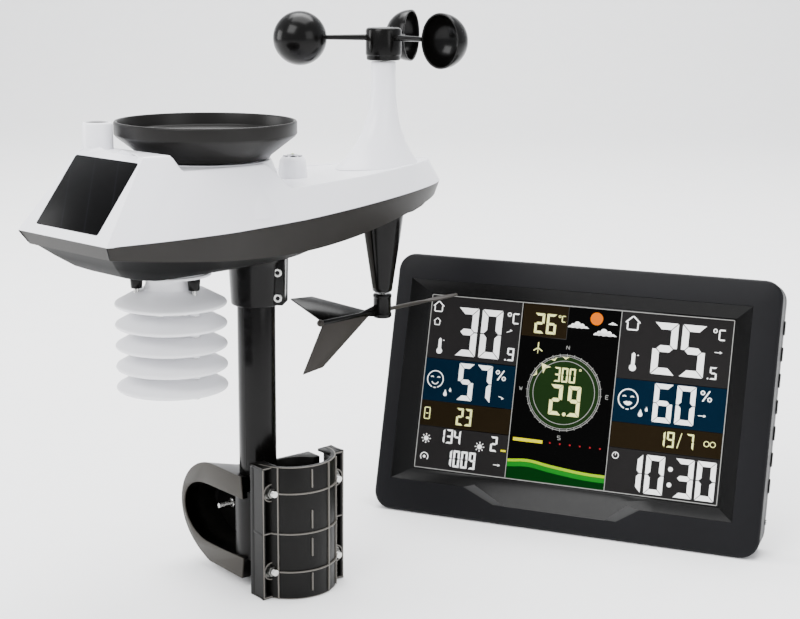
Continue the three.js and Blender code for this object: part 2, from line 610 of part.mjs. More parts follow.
function poleClamp() {
  const { centre, half, back, front, top, pipe, wall } = JAW;
  const plate = box(centre - half, centre + half, -back - 4, -back, 0, top);
  const edges = [-1, 1].map((side) => {
    const outer = centre + side * half;
    const [a, b] = [outer, outer - side * 2.4].sort((p, q) => p - q);
    return box(a, b, -front, -back, 0, top);
  });
  const ends = [0, 45.6, top - 2.4].map((z) =>
    box(centre - half, centre + half, -front, -back, z, z + 2.4));
  const shell = post(centre, -back, 0, top, pipe, pipe, 28);
  const rib = pipe + 1.3;
  const hoops = [BOLT.low, 46.8, BOLT.high].map((z) =>
    post(centre, -back, z - 0.9, z + 0.9, rib, rib, 28));
  const ridges = [-52, -8, 20, 46].map((turn) =>
    box(-0.9, 0.9, -rib, -pipe + 2, 0, top).rotate([0, 0, turn]).translate([centre, -back, 0]));
  const bosses = boltSpots().map(([x, z]) => bar(x, z, -front - 1.6, -back, 5.4, 12));
  const channel = post(centre, -back, -1, top + 1, pipe - wall, pipe - wall, 28);
  const behind = box(centre - 60, centre + 60, -back, 60, -1, top + 1);
  const bores = boltSpots().map(([x, z]) => bar(x, z, -60, -2, BOLT.radius + GAP, 10));
  const pockets = boltSpots().map(([x, z]) => bar(x, z, -60, -front + 1.6, 4.2, 12));
  const whole = join(plate, ...edges, ...ends, shell, ...hoops, ...ridges, ...bosses);
  return cut(whole, behind, channel, ...bores, ...pockets);
}

function clampBolt([x, z]) {
  const shank = bar(x, z, -JAW.front - 5, -10.8, BOLT.radius, 12);
  return join(shank, bar(x, z, -JAW.front - 2.2, -JAW.front + 1.3, 3.9, 6));
}

// ---------------------------------------------------------------- console
// Here x runs along the face, z up the face and +y into the case from the front.
function plateOutline(width, low, high, radius) {
  const [a, b] = [-width / 2, width / 2];
  const shape = new THREE.Shape();
  shape.moveTo(a + radius, low).lineTo(b - radius, low);
  shape.absarc(b - radius, low + radius, radius, -Math.PI / 2, 0);
  shape.lineTo(b, high - radius).absarc(b - radius, high - radius, radius, 0, Math.PI / 2);
  shape.lineTo(a + radius, high).absarc(a + radius, high - radius, radius, Math.PI / 2, Math.PI);
  shape.lineTo(a, low + radius).absarc(a + radius, low + radius, radius, Math.PI, 1.5 * Math.PI);
  return shape;
}

// A rounded slab of the case between two depths.
function slab(width, low, high, radius, y0, y1) {
  const geometry = new THREE.ExtrudeGeometry(plateOutline(width, low, high, radius), {
    depth: y1 - y0, bevelEnabled: false, curveSegments: 5,
  });
  return toSolid(geometry.rotateX(Math.PI / 2).translate(0, y1, 0));
}

// Everything under the table top, as seen from the leaning case.
function tableCut() {
  const under = box(-400, 400, -400, 400, -400, 0);
  return under.rotate([CONSOLE.lean, 0, 0]);
}

function frontFrame() {
  const { width, height } = CONSOLE;
  const { depth, corner, wall } = FRAME;
  const outer = slab(width, 0, height, corner, 0, depth);
  const pocket = slab(width - 2 * wall, wall + 4, height - wall, corner - wall, wall + 6, depth + 1);
  const rake = 9;
  const { left, right, low, high } = SCREEN;
  const mouth = raked(left - rake, right + rake, low - rake, high + rake, rake);
  const sill = box(left - 2, right + 2, 5, 14, low - 2, high + 2);
  return cut(outer, pocket, mouth, sill, tableCut());
}

// A picture-frame opening whose four sides rake inwards to the screen.
function raked(left, right, low, high, rake) {
  const depth = 6;
  const rect = (inset, y) => [
    [left + inset, y, low + inset], [right - inset, y, low + inset],
    [right - inset, y, high - inset], [left + inset, y, high - inset],
  ];
  return skin([rect(-rake / depth, -1), rect(rake, depth)]);
}

function displayPanel() {
  const { left, right, low, high, thick, recess } = SCREEN;
  const edge = 1.6; // how far the glass runs behind the frame
  return box(left - edge, right + edge, recess, recess + thick, low - edge, high + edge);
}

const consoleBoard = () => box(-110, 120, 15, 16.6, 48, 160);

function backCover() {
  const { width, height, depth } = CONSOLE;
  const wall = 2.5;
  const { corner } = FRAME;
  const outer = slab(width, 0, height, corner, FRAME.depth + GAP, depth);
  const inner = slab(width - 2 * wall, wall + 8.4, height - wall, corner - wall, FRAME.depth, depth - wall);
  const holes = buttonLevels().map((z) => buttonBlock(z, -0.4, 140, 160));
  const switchSlot = box(140, 160, BUTTON.at - 2, BUTTON.at + 2, 24, 36);
  const jack = rod(BUTTON.at, 30, -160, -140, 4 + GAP, 20);
  const { x0, x1, z0, z1 } = CONSOLE_DOOR;
  const door = box(x0, x1, depth - 4, depth + 1, z0, z1);
  const whole = join(cut(outer, inner), ...hingeLugs());
  return cut(whole, ...holes, switchSlot, jack, door, tableCut(), hingePin(0.4));
}

function consoleBatteryDoor() {
  const { x0, x1, z0, z1, thick } = CONSOLE_DOOR;
  const { depth } = CONSOLE;
  const plate = box(x0 + GAP, x1 - GAP, depth - thick, depth, z0 + GAP, z1 - GAP);
  return join(plate, box(x0 + 26, x1 - 26, depth - 0.5, depth + 1.2, z1 - 8, z1 - 6));
}

function hingeLugs() {
  const outer = LEG.half + 5.5;
  return [-1, 1].map((side) => {
    const [a, b] = [side * (outer - 4), side * outer].sort((p, q) => p - q);
    return box(a, b, CONSOLE.depth - 2, LEG.hingeW + 4, LEG.hingeV - 4, LEG.hingeV + 4);
  });
}

function hingePin(grow) {
  const reach = LEG.half + 4 + grow;
  return rod(LEG.hingeW, LEG.hingeV, -reach, reach, LEG.pin + grow, 16);
}

// The fold-out prop leg: a plate with a foot, hung from a pin across the back.
function standLeg() {
  const slope = Math.tan(rad(CONSOLE.lean));
  const footV = LEG.reachW * slope;
  const run = [LEG.reachW - LEG.hingeW, footV - LEG.hingeV];
  const length = Math.hypot(...run);
  const turn = Math.atan2(run[0], -run[1]);
  const outline = new THREE.Shape();
  const { half } = LEG;
  outline.moveTo(-half, 2).lineTo(half, 2).lineTo(half - 12, -length + 4);
  outline.lineTo(half - 16, -length).lineTo(-half + 16, -length);
  outline.lineTo(-half + 12, -length + 4);
  const window = new THREE.Path();
  window.moveTo(-20, -16).lineTo(-14, -length + 16).lineTo(14, -length + 16).lineTo(20, -16);
  outline.holes.push(window);
  const geometry = new THREE.ExtrudeGeometry(outline, { depth: LEG.thick, bevelEnabled: false });
  geometry.rotateX(Math.PI / 2).translate(0, LEG.thick / 2, 0);
  const tilt = [(turn * 180) / Math.PI, 0, 0];
  const plate = toSolid(geometry).rotate(tilt).translate([0, LEG.hingeW, LEG.hingeV]);
  const knuckle = rod(LEG.hingeW, LEG.hingeV, -LEG.half, LEG.half, 3.2, 16);
  return cut(join(plate, knuckle, hingePin(0)), tableCut());
}

function buttonLevels() {
  const { first, pitch, count } = BUTTON;
  return Array.from({ length: count }, (_, i) => first + pitch * (count - 1 - i));
}

// An oblong with round ends, its length up the case's side and its travel along x.
function buttonBlock(z, inset, x0, x1) {
  const { long, wide, at } = BUTTON;
  const radius = wide / 2 - inset;
  const reach = long / 2 - wide / 2;
  const middle = box(x0, x1, at - radius, at + radius, z - reach, z + reach);
  return join(middle, rod(at, z - reach, x0, x1, radius, 8), rod(at, z + reach, x0, x1, radius, 8));
}

const sideButton = (z) => buttonBlock(z, 0, CONSOLE.width / 2 - 5, CONSOLE.width / 2 + BUTTON.proud);

function backlightSwitch() {
  const [y0, y1] = [BUTTON.at - 1.6, BUTTON.at + 1.6];
  return join(box(146, 154.2, y0, y1, 26, 30), box(146, 149.6, y0, y1, 24.4, 32));
}

function powerJack() {
  const barrel = rod(BUTTON.at, 30, -152.6, -138, 4, 20);
  const pin = rod(BUTTON.at, 30, -143, -138.2, 0.9, 10);
  return join(cut(barrel, rod(BUTTON.at, 30, -154, -142, 2.8, 16)), pin);
}

// ---------------------------------------------------------------- assembly
const station = new THREE.Group();

function group(parent, x, y, yaw) {
  const made = new THREE.Group();
  made.position.set(x, y, 0);
  made.rotation.z = rad(yaw);
  parent.add(made);
  return made;
}

function add(parent, name, solid, material) {
  const mesh = new THREE.Mesh(toGeometry(solid), material);
  mesh.name = name;
  parent.add(mesh);
}

const unit = group(station, MAST.x, MAST.y, BODY_YAW);
add(unit, "lower_housing", lowerHousing(), DARK);
add(unit, "upper_cover", upperCover(), WHITE);
add(unit, "solar_panel", solarPanel(), SCREEN_BLACK);
add(unit, "light_sensor_lens", lightSensorLens(), SCREEN_BLACK);
add(unit, "level_vial", levelVial(), SPIRIT);
add(unit, "sensor_battery_door", sensorBatteryDoor(), DARK);
add(unit, "rain_funnel", rainFunnel(), FUNNEL_GREY);
add(unit, "debris_screen", debrisScreen(), GLOSS_BLACK);
add(unit, "tipping_bucket", tippingBucket(), GLOSS_BLACK);
add(unit, "bucket_axle", bucketAxle(), STEEL);
add(unit, "bucket_cradle", bucketCradle(), DARK);
add(unit, "anemometer_stalk", anemometerStalk(), WHITE);
add(unit, "rotor_bearing", rotorBearing(), BRASS);
add(unit, "rotor_shaft", rotorShaft(), STEEL);
add(unit, "cup_rotor", cupRotor(), GLOSS_BLACK);
add(unit, "vane_turret", vaneTurret(), GLOSS_BLACK);
add(unit, "vane_bearing", vaneBearing(), BRASS);
add(unit, "vane_shaft", vaneShaft(), STEEL);
add(unit, "wind_vane", windVane(), GLOSS_BLACK);
for (let i = 0; i < SHIELD.count; i += 1) {
  add(unit, `shield_plate_${i + 1}`, shieldPlate(i), SHIELD_WHITE);
}
SPACER.turns.forEach((turn, i) => {
  add(unit, `shield_spacer_${i + 1}`, shieldSpacer(turn), GLOSS_BLACK);
});
add(unit, "climate_probe", climateProbe(), WHITE);
add(unit, "sensor_board", sensorBoard(), BOARD_GREEN);
CELL_SEATS.forEach((seat, i) => add(unit, `battery_cell_${i + 1}`, batteryCell(seat), CELL));
add(unit, "mast_tube", mastTube(), GLOSS_BLACK);
add(unit, "mast_socket", mastSocket(), GLOSS_BLACK);
SOCKET_SCREWS.forEach((z, i) => add(unit, `socket_screw_${i + 1}`, socketScrew(z), STEEL));

const mount = group(station, MAST.x, MAST.y, CLAMP_YAW);
add(mount, "mounting_base", mountingBase(), CLAMP_BLACK);
add(mount, "base_bolt", baseBolt(), STEEL);
add(mount, "pole_clamp", poleClamp(), CLAMP_BLACK);
boltSpots().forEach((spot, i) => add(mount, `clamp_bolt_${i + 1}`, clampBolt(spot), STEEL));

const stand = group(station, MAST.x + CONSOLE.x, MAST.y + CONSOLE.y, CONSOLE.yaw);
const leaning = new THREE.Group();
leaning.rotation.x = -rad(CONSOLE.lean);
stand.add(leaning);
add(leaning, "front_frame", frontFrame(), CASE_BLACK);
add(leaning, "back_cover", backCover(), CASE_BLACK);
add(leaning, "display_panel", displayPanel(), SCREEN_BLACK);
add(leaning, "console_board", consoleBoard(), BOARD_GREEN);
add(leaning, "console_battery_door", consoleBatteryDoor(), CASE_BLACK);
add(leaning, "stand_leg", standLeg(), CASE_BLACK);
buttonLevels().forEach((z, i) => add(leaning, `side_button_${i + 1}`, sideButton(z), GLOSS_BLACK));
add(leaning, "backlight_switch", backlightSwitch(), GLOSS_BLACK);
add(leaning, "power_jack", powerJack(), GLOSS_BLACK);

export default station;
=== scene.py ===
"""Home weather station: moulded shells, wind and rain parts, pole clamp and table console.

Every piece is built in millimetres in a local place of its own (the housing, the pole mount
or the leaning console) and stored in metres in the row frame.
"""

import json

import bmesh
import bpy
import numpy as np
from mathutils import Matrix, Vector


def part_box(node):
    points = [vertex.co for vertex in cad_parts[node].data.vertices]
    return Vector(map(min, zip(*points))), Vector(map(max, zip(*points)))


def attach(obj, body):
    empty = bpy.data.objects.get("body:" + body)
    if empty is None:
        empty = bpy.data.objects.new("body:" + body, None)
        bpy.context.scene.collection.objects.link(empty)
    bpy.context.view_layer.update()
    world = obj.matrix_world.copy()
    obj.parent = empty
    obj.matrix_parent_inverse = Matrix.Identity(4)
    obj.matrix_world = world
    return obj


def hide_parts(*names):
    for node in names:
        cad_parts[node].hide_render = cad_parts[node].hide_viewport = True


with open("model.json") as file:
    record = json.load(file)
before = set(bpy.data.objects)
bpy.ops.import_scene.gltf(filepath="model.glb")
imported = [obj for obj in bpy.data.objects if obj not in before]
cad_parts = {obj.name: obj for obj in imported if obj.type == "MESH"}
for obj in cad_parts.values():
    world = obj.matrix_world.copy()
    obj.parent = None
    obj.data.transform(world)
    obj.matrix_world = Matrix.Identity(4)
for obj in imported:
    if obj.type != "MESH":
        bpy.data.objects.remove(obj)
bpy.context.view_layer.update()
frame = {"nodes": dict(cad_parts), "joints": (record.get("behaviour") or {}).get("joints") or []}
MM = 0.001
TAU = 2 * np.pi
JOINTS = {joint["name"]: joint for joint in frame["joints"]}

# ---------------------------------------------------------------- driving dimensions, in mm
STERN, BOW, WIDEST, HALF, STERN_HALF = -154.0, 182.0, -64.0, 55.5, 46.0
SEAM, BOW_RISE, WALL = 262.0, 6.5, 2.4
ROOF_X, ROOF_HALF, ROOF_STERN, ROOF_SEAT, ROOF_DECK = -115.8, 38.2, 311.0, 301.0, 283.6
BELLY, BELLY_PAD, BELLY_BOW = 232.0, 241.0, 246.5
FUNNEL_X, FUNNEL_RIM, FUNNEL_TOP, FUNNEL_BAND, FUNNEL_NECK = -40.8, 58.8, 326.2, 317.4, 41.2
ROTOR_X, ROTOR_LOW, ROTOR_HIGH, ROTOR_HUB = 122.8, 359.0, 382.0, 12.8
ARM, CUP, CUP_Z, CUP_TURNS = 60.0, 19.0, 374.5, (144.6, 24.6, -95.4)
STALK_TOP, STALK_R, STALK_AFT, STALK_FORE, STALK_HALF = 358.0, 8.8, 44.0, 32.0, 21.0
LEVEL_X = 34.5
POST = (-107.2, 25.2)
VANE_Z, VANE_TAIL = 176.2, 62.8
LUG_TURN = -54
SHIELD_X, SHIELD_R, SHIELD_LOW, SHIELD_PITCH, SHIELD_NECK = -72.4, 36.1, 209.6, 13.75, 16.0
MAST_R, MAST_BOTTOM, MAST_TOP = 13.0, 30.4, 231.4
JAW_X, JAW_HALF, JAW_BACK, JAW_FRONT, JAW_TOP, PIPE = 15.4, 34.1, 18.1, 32.8, 94.0, 30.6
BOLT_SPREAD, BOLT_LEVELS = 27.0, (19.5, 75.5)
HOOK_HALF, HOOK_LOW, HOOK_HIGH = 18.65, 7.0, 81.0
WIDTH, HEIGHT, DEPTH, FRAME_DEPTH, CORNER = 306.0, 207.0, 28.0, 13.0, 14.0
SCREEN = {"left": -124.6, "right": 119.6, "low": 35.2, "high": 176.6, "recess": 6.4}
MOUTH = {"left": -140.5, "right": 132.0, "low": 25.5, "high": 187.0}
LEAN = np.tan(np.radians(16.0))


# ---------------------------------------------------------------- places
class Place:
    """A local frame: an origin in metres and unit axes x, y, z, with lengths in millimetres."""

    def __init__(self, origin, x, z):
        self.origin = np.array(origin, float)
        self.axes = np.array([x, np.cross(z, x), z], float)

    def world(self, points):
        """origin + x * X + y * Y + z * Z."""
        return self.origin + np.asarray(points, float) @ self.axes * MM


UP = np.array([0.0, 0.0, 1.0])
mast_low, mast_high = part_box("mast_tube")
MAST = [(mast_low[0] + mast_high[0]) / 2, (mast_low[1] + mast_high[1]) / 2, 0]
UNIT = Place(MAST, JOINTS["bucket_tilt"]["axis"], UP)
MOUNT = Place(MAST, np.cross(UP, JOINTS["clamp_slide"]["axis"]), UP)
FACE_X = -np.array(JOINTS["button_1"]["axis"])
FACE_UP = np.array(JOINTS["switch_slide"]["axis"])
FACE_IN = np.cross(FACE_UP, FACE_X)
HINGE = np.array([0.0, 31.8, 88.0])
CONSOLE = Place(
    np.array(JOINTS["leg_fold"]["pos_m"]) - (FACE_IN * HINGE[1] + FACE_UP * HINGE[2]) * MM,
    FACE_X, FACE_UP)


# ---------------------------------------------------------------- mesh building
def grid(points, wrap_u=False, wrap_v=False):
    """Quads between neighbouring points of an n by m grid, joined round where it wraps."""
    points = np.asarray(points, float)
    index = np.arange(points.shape[0] * points.shape[1]).reshape(points.shape[:2])
    index = np.vstack([index, index[:1]]) if wrap_u else index
    index = np.hstack([index, index[:, :1]]) if wrap_v else index
    corners = [index[:-1, :-1], index[1:, :-1], index[1:, 1:], index[:-1, 1:]]
    return points.reshape(-1, 3), np.stack(corners, -1).reshape(-1, 4).tolist()


def tube(rings):
    """A grid of closed rings with a flat cap on its first and last ring."""
    rings = np.asarray(rings, float)
    points, faces = grid(rings, wrap_v=True)
    last = np.arange(len(points) - rings.shape[1], len(points)).tolist()
    return points, faces + [list(range(rings.shape[1])), last]


def merge(*parts):
    """Several parts as one."""
    points, faces, start = [], [], 0
    for part_points, part_faces in parts:
        points.append(part_points)
        faces += [[i + start for i in face] for face in part_faces]
        start += len(part_points)
    return np.vstack(points), faces


def arc(cx, cy, radius, first, last, count=16):
    """Points on a circle between two angles in degrees."""
    turn = np.radians(np.linspace(first, last, count))
    return np.column_stack([cx + radius * np.cos(turn), cy + radius * np.sin(turn)])


def circle(cx, cy, radius, count=40):
    """A closed circle's points."""
    return arc(cx, cy, radius, 0, 360 - 360 / count, count)


def prism(outline, a, b, axis="z"):
    """An outline carried from a to b: in (x, y) up z, in (x, z) along y, or in (y, z) along x."""
    outline = np.asarray(outline, float)
    order = {"z": (0, 1, 2), "y": (0, 2, 1), "x": (1, 2, 0)}[axis]
    rings = np.zeros((2, len(outline), 3))
    rings[:, :, order[0]] = outline[:, 0]
    rings[:, :, order[1]] = outline[:, 1]
    rings[0, :, order[2]] = a
    rings[1, :, order[2]] = b
    return tube(rings)


def block(x0, x1, y0, y1, z0, z1):
    """A box between two corners."""
    return prism([[x0, y0], [x1, y0], [x1, y1], [x0, y1]], z0, z1)


def lathe(profile, x=0.0, y=0.0, sides=96):
    """A profile of (radius, z) points turned about the upright axis at x, y."""
    radius, z = np.asarray(profile, float).T
    turn = np.linspace(0, TAU, sides, endpoint=False)
    ring_x = x + radius[:, None] * np.cos(turn)
    ring_y = y + radius[:, None] * np.sin(turn)
    return grid(np.stack([ring_x, ring_y, z[:, None] + 0 * ring_x], -1), wrap_v=True)


def turned_about(part, degrees, x=0.0, y=0.0):
    """The part turned about the upright line at x, y."""
    points, faces = part
    c, s = np.cos(np.radians(degrees)), np.sin(np.radians(degrees))
    dx, dy = points[:, 0] - x, points[:, 1] - y
    return np.column_stack([x + c * dx - s * dy, y + s * dx + c * dy, points[:, 2]]), faces


def laid(part, origin, x_axis, y_axis, z_axis):
    """The part carried from its own axes to others in the same place."""
    points, faces = part
    return np.array(origin) + points @ np.array([x_axis, y_axis, z_axis], float), faces


def piece(name, parts, place, body, replaces=(), bevel=0.0, shell=0.0, smooth=35.0):
    """One object from (part, material) pairs, rounded, thickened, merged and facing out."""
    points, faces = merge(*[part for part, _ in parts])
    marks = [index for index, (part, _) in enumerate(parts) for _ in part[1]]
    mesh = bpy.data.meshes.new(name)
    mesh.from_pydata(place.world(points).tolist(), [], faces)
    for _, surface in parts:
        mesh.materials.append(surface)
    mesh.polygons.foreach_set("material_index", marks)
    work = bmesh.new()
    work.from_mesh(mesh)
    bmesh.ops.remove_doubles(work, verts=work.verts, dist=2e-6)
    bmesh.ops.recalc_face_normals(work, faces=work.faces)
    work.to_mesh(mesh)
    work.free()
    made = bpy.data.objects.new(name, mesh)
    bpy.context.scene.collection.objects.link(made)
    if bevel:
        step = made.modifiers.new("edges", "BEVEL")
        step.width, step.segments, step.limit_method = bevel * MM, 2, "ANGLE"
        step.angle_limit = np.radians(32.0)
    if shell:
        step = made.modifiers.new("wall", "SOLIDIFY")
        step.thickness, step.offset = shell * MM, -1
    if made.modifiers:
        deps = bpy.context.evaluated_depsgraph_get()
        made.data = bpy.data.meshes.new_from_object(made.evaluated_get(deps))
        made.modifiers.clear()
    made.data.shade_smooth()
    made.data.set_sharp_from_angle(angle=np.radians(smooth))
    made.data.name = name
    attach(made, body)
    if replaces:
        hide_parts(*replaces)


# ---------------------------------------------------------------- materials
def linear(code, alpha=1.0):
    """An sRGB hex colour as linear red, green, blue and alpha."""
    srgb = np.array([int(code[i:i + 2], 16) for i in (1, 3, 5)]) / 255
    flat = np.where(srgb <= 0.04045, srgb / 12.92, ((srgb + 0.055) / 1.055) ** 2.4)
    return (*flat, alpha)


def per_mm(size):
    """The texture scale whose features are about this many millimetres across."""
    return 1 / (size * MM)


def add(tree, kind, inputs=(), **settings):
    """Adds one node; an input's value is set, or linked where it is another node's socket."""
    made = tree.nodes.new(kind)
    for key, value in settings.items():
        setattr(made, key, value)
    for key, value in dict(inputs).items():
        if isinstance(value, bpy.types.NodeSocket):
            tree.links.new(value, made.inputs[key])
        else:
            made.inputs[key].default_value = value
    return made


def surface(name, **constants):
    """A new material, its tree, its shader with constants set on it, and object coordinates."""
    made = bpy.data.materials.new(name)
    made.use_nodes = True
    tree = made.node_tree
    tree.nodes.clear()
    shader = add(tree, "ShaderNodeBsdfPrincipled", constants)
    add(tree, "ShaderNodeOutputMaterial", {"Surface": shader.outputs["BSDF"]})
    coords = add(tree, "ShaderNodeTexCoord").outputs["Object"]
    return made, tree, shader, coords


def noise(tree, coords, size, detail, **more):
    """The value of a noise whose features are about size millimetres across."""
    inputs = {"Vector": coords, "Scale": per_mm(size), "Detail": detail, **more}
    return add(tree, "ShaderNodeTexNoise", inputs).outputs["Fac"]


def blend(tree, share, a, b):
    """The colour a at share 0 and b at share 1."""
    return add(tree, "ShaderNodeMix", {"Factor": share, "A": a, "B": b},
               data_type="RGBA").outputs["Result"]


def relief(tree, shader, marks, smoothest, roughest, strength, depth):
    """Lets the marks drive the roughness and a bump of this depth in millimetres."""
    sheen = add(tree, "ShaderNodeMapRange", {
        "Value": marks, "To Min": smoothest, "To Max": roughest})
    bump = add(tree, "ShaderNodeBump", {
        "Height": marks, "Strength": strength, "Distance": depth * MM})
    tree.links.new(sheen.outputs["Result"], shader.inputs["Roughness"])
    tree.links.new(bump.outputs["Normal"], shader.inputs["Normal"])


def moulded(name, dark, light, rough, grain=0.6, depth=0.02, **constants):
    """Injection-moulded plastic: a fine grain in the surface and a slow drift in tone."""
    made, tree, shader, coords = surface(name, **constants)
    tone = blend(tree, noise(tree, coords, 45, 3), linear(dark), linear(light))
    tree.links.new(tone, shader.inputs["Base Color"])
    relief(tree, shader, noise(tree, coords, grain, 4, Roughness=0.6), rough - 0.04, rough + 0.06,
           0.35, depth)
    return made


LOW = {"Specular IOR Level": 0.14}
DULL = {"Specular IOR Level": 0.07}


def metal(name, dark, light, rough, streak):
    """Plated or turned metal: fine marks left by tumbling or the lathe."""
    made, tree, shader, coords = surface(name, Metallic=1.0)
    marks = noise(tree, coords, streak, 6, Distortion=1.2)
    tree.links.new(blend(tree, marks, linear(dark), linear(light)), shader.inputs["Base Color"])
    relief(tree, shader, marks, rough - 0.06, rough + 0.12, 0.25, 0.02)
    return made


def ink(name, code, glow):
    """A backlit display segment: even colour with the faint unevenness of the light guide."""
    made, tree, shader, coords = surface(
        name, **{"Roughness": 0.5, "Specular IOR Level": 0.0, "Emission Strength": glow})
    shade = tuple(0.86 * channel for channel in linear(code)[:3]) + (1.0,)
    tone = blend(tree, noise(tree, coords, 30, 2), shade, linear(code))
    tree.links.new(tone, shader.inputs["Base Color"])
    tree.links.new(tone, shader.inputs["Emission Color"])
    return made


def solar_laminate():
    """Photovoltaic laminate: dark silicon cells behind smooth resin, with thin silver fingers."""
    made, tree, shader, coords = surface(
        "solar_laminate", **{"Roughness": 0.3, "Specular IOR Level": 0.05})
    lines = add(tree, "ShaderNodeTexWave", {
        "Vector": coords, "Scale": per_mm(14) / TAU * 1.6, "Distortion": 0.0},
        bands_direction="X", wave_profile="SIN")
    fine = add(tree, "ShaderNodeMapRange", {
        "Value": lines.outputs["Fac"], "From Min": 0.985, "From Max": 1.0})
    cells = blend(tree, noise(tree, coords, 9, 5), linear("#030303"), linear("#060607"))
    tone = blend(tree, fine.outputs["Result"], cells, linear("#0d0d10"))
    tree.links.new(tone, shader.inputs["Base Color"])
    return made


# Glossy white ASA for outdoor shells: bright, slightly blue, with a soft clear highlight.
WHITE = moulded("glossy_white_asa", "#eeeef4", "#f6f6fa", 0.22, grain=0.9, depth=0.006)
# Satin white polycarbonate of the shield plates: the same tone with a wider highlight.
SHIELD = moulded("satin_white_polycarbonate", "#d8d8dc", "#e6e6e8", 0.42, depth=0.012)
# Satin warm-grey ABS of the tub's band: a broad soft highlight.
GREY = moulded("satin_grey_abs", "#1b1917", "#242220", 0.36, **LOW)
# The tub's underside is the same plastic, rougher, and painted darker as painted shade under the
# housing.
BELLY_PAINTED_SHADE = moulded("grey_abs_painted_shade", "#050505", "#080807", 0.6, **DULL)
# Satin dark polypropylene of the rain funnel.
FUNNEL = moulded("satin_dark_polypropylene", "#151413", "#1c1b1a", 0.34, depth=0.015, **LOW)
# Polished black ABS of the mast, socket, cups and turret: sharp reflections.
BLACK = moulded("polished_black_abs", "#050504", "#090808", 0.2, grain=1.4, depth=0.004,
               **LOW)
# Glass-filled nylon of the pole clamp: matt and a little mottled.
NYLON = moulded("glass_filled_nylon", "#070706", "#0c0b0a", 0.38, grain=0.8, depth=0.03, **LOW)
# The same nylon painted pale on ribs, rims and flange edges: a painted highlight along the edges.
PALE_EDGE_HIGHLIGHT = moulded("nylon_painted_edge_highlight", "#4a4742", "#66625c", 0.4, grain=0.8, depth=0.03)
# The bracket's side face is painted a lighter grey than the clamp: a painted highlight for its lit
# side.
LIT_SIDE_NYLON = moulded("nylon_painted_lit_side", "#2a2825", "#383530", 0.42, grain=0.9, depth=0.03,
                 **LOW)
# Fine spark-eroded texture of the console case: dark, bluish and soft.
CASE = moulded("textured_black_abs", "#08080a", "#0d0d10", 0.42, grain=0.5, depth=0.03, **LOW)
# The polished stretch of the console's chin and its inner bevel.
CHIN = moulded("polished_case_abs", "#080808", "#0c0c0c", 0.24, grain=4.0, depth=0.002, **LOW)
# The chin's two slanted facets are painted lighter: a painted highlight where they catch the
# light.
FACET_HIGHLIGHT = moulded("abs_painted_facet_highlight", "#333333", "#3d3d3d", 0.24, grain=4.0, depth=0.002, **LOW)
# The vane's lower fin: black plastic painted grey, painted light standing for light through its
# thin section.
FIN_PAINTED_LIGHT = moulded("vane_abs_painted_light", "#292623", "#363330", 0.4, grain=0.9, depth=0.015, **LOW)
# Bright zinc on steel screws, nuts and shafts.
ZINC = metal("zinc_plated_steel", "#9a9a98", "#dcdcd8", 0.24, 2.5)
# Blued steel of the clamp's nuts.
NUT = metal("blued_steel_nut", "#4c4c4a", "#8c8c88", 0.3, 1.5)
# Sintered brass of the two plain bearings.
BRASS = metal("sintered_brass", "#8d6f34", "#b8954e", 0.36, 0.8)
# Dark smoked acrylic of the light sensor and the level's cap.
SMOKE = moulded("smoked_acrylic", "#040405", "#08080a", 0.1, grain=3.0, depth=0.002, **LOW)
# Green spirit in the level's vial.
SPIRIT = moulded("green_spirit_vial", "#7f9a26", "#a8c63c", 0.1, grain=4.0, depth=0.002)
# Solder mask over glass-fibre board.
BOARD = moulded("green_solder_mask", "#12402a", "#1d5a3a", 0.4, grain=0.7, depth=0.02)
# Printed shrink sleeve of the dry cells.
SLEEVE = moulded("printed_cell_sleeve", "#5f6468", "#8b9094", 0.35, grain=1.5, depth=0.01)
# Black glass over the display.
GLASS = moulded("black_display_glass", "#020202", "#040404", 0.12, grain=5.0, depth=0.001, **LOW)
SOLAR = solar_laminate()

# Display colours: lit segments, then the printed zones behind them and the thin lines.
INK = {name: ink(name, code, glow) for name, code, glow in (
    ("segment_white", "#f8f8f6", 0.12), ("segment_cream", "#e9ea9a", 0.12),
    ("segment_yellow", "#cfc500", 0.05), ("segment_orange", "#c86000", 0.05),
    ("segment_red", "#8a1c22", 0.1), ("segment_green", "#126a1c", 0.05),
    ("segment_lime", "#8aac10", 0.05), ("segment_pine", "#06280b", 0.02),
    ("zone_grey", "#1f1e1e", 0.0), ("zone_blue", "#051726", 0.0), ("zone_brown", "#1b150c", 0.0),
    ("zone_black", "#060606", 0.0), ("zone_dial", "#152610", 0.0),
    ("line_grey", "#8b8b88", 0.05))}


# ---------------------------------------------------------------- the housing's lines
def smooth(a, b, v):
    """Zero up to a, one from b, an even S between."""
    t = np.clip((v - a) / (b - a), 0, 1)
    return t * t * (3 - 2 * t)


def hull_half(x):
    """Half the beam: a parabola towards the stern, a blunt power curve towards the bow."""
    aft = np.clip((WIDEST - x) / (WIDEST - STERN), 0, 1)
    fore = np.clip((x - WIDEST) / (BOW - WIDEST), 0, 1)
    stern = STERN_HALF + (HALF - STERN_HALF) * (1 - aft**2)
    return np.where(x < WIDEST, stern, HALF * np.maximum(1 - fore**1.15, 0) ** 0.57)


def seam_level(x):
    """The seam rises gently towards the bow."""
    return SEAM + BOW_RISE * np.maximum(x / BOW, 0) ** 1.3


def band_foot(x):
    """The leaning band is deepest amidships: the seam less half a sine arch."""
    return seam_level(x) - 8 - 14 * np.sin(np.pi * np.clip((x - STERN) / (BOW - STERN), 0, 1))


def belly_level(x):
    """The flat underside, stepping up under the bow and the stern."""
    pad = (BELLY_PAD - BELLY) * smooth(4, 38, x) + (BELLY_BOW - BELLY_PAD) * smooth(96, 130, x)
    return BELLY + pad + 10 * (1 - smooth(-150, -100, x))


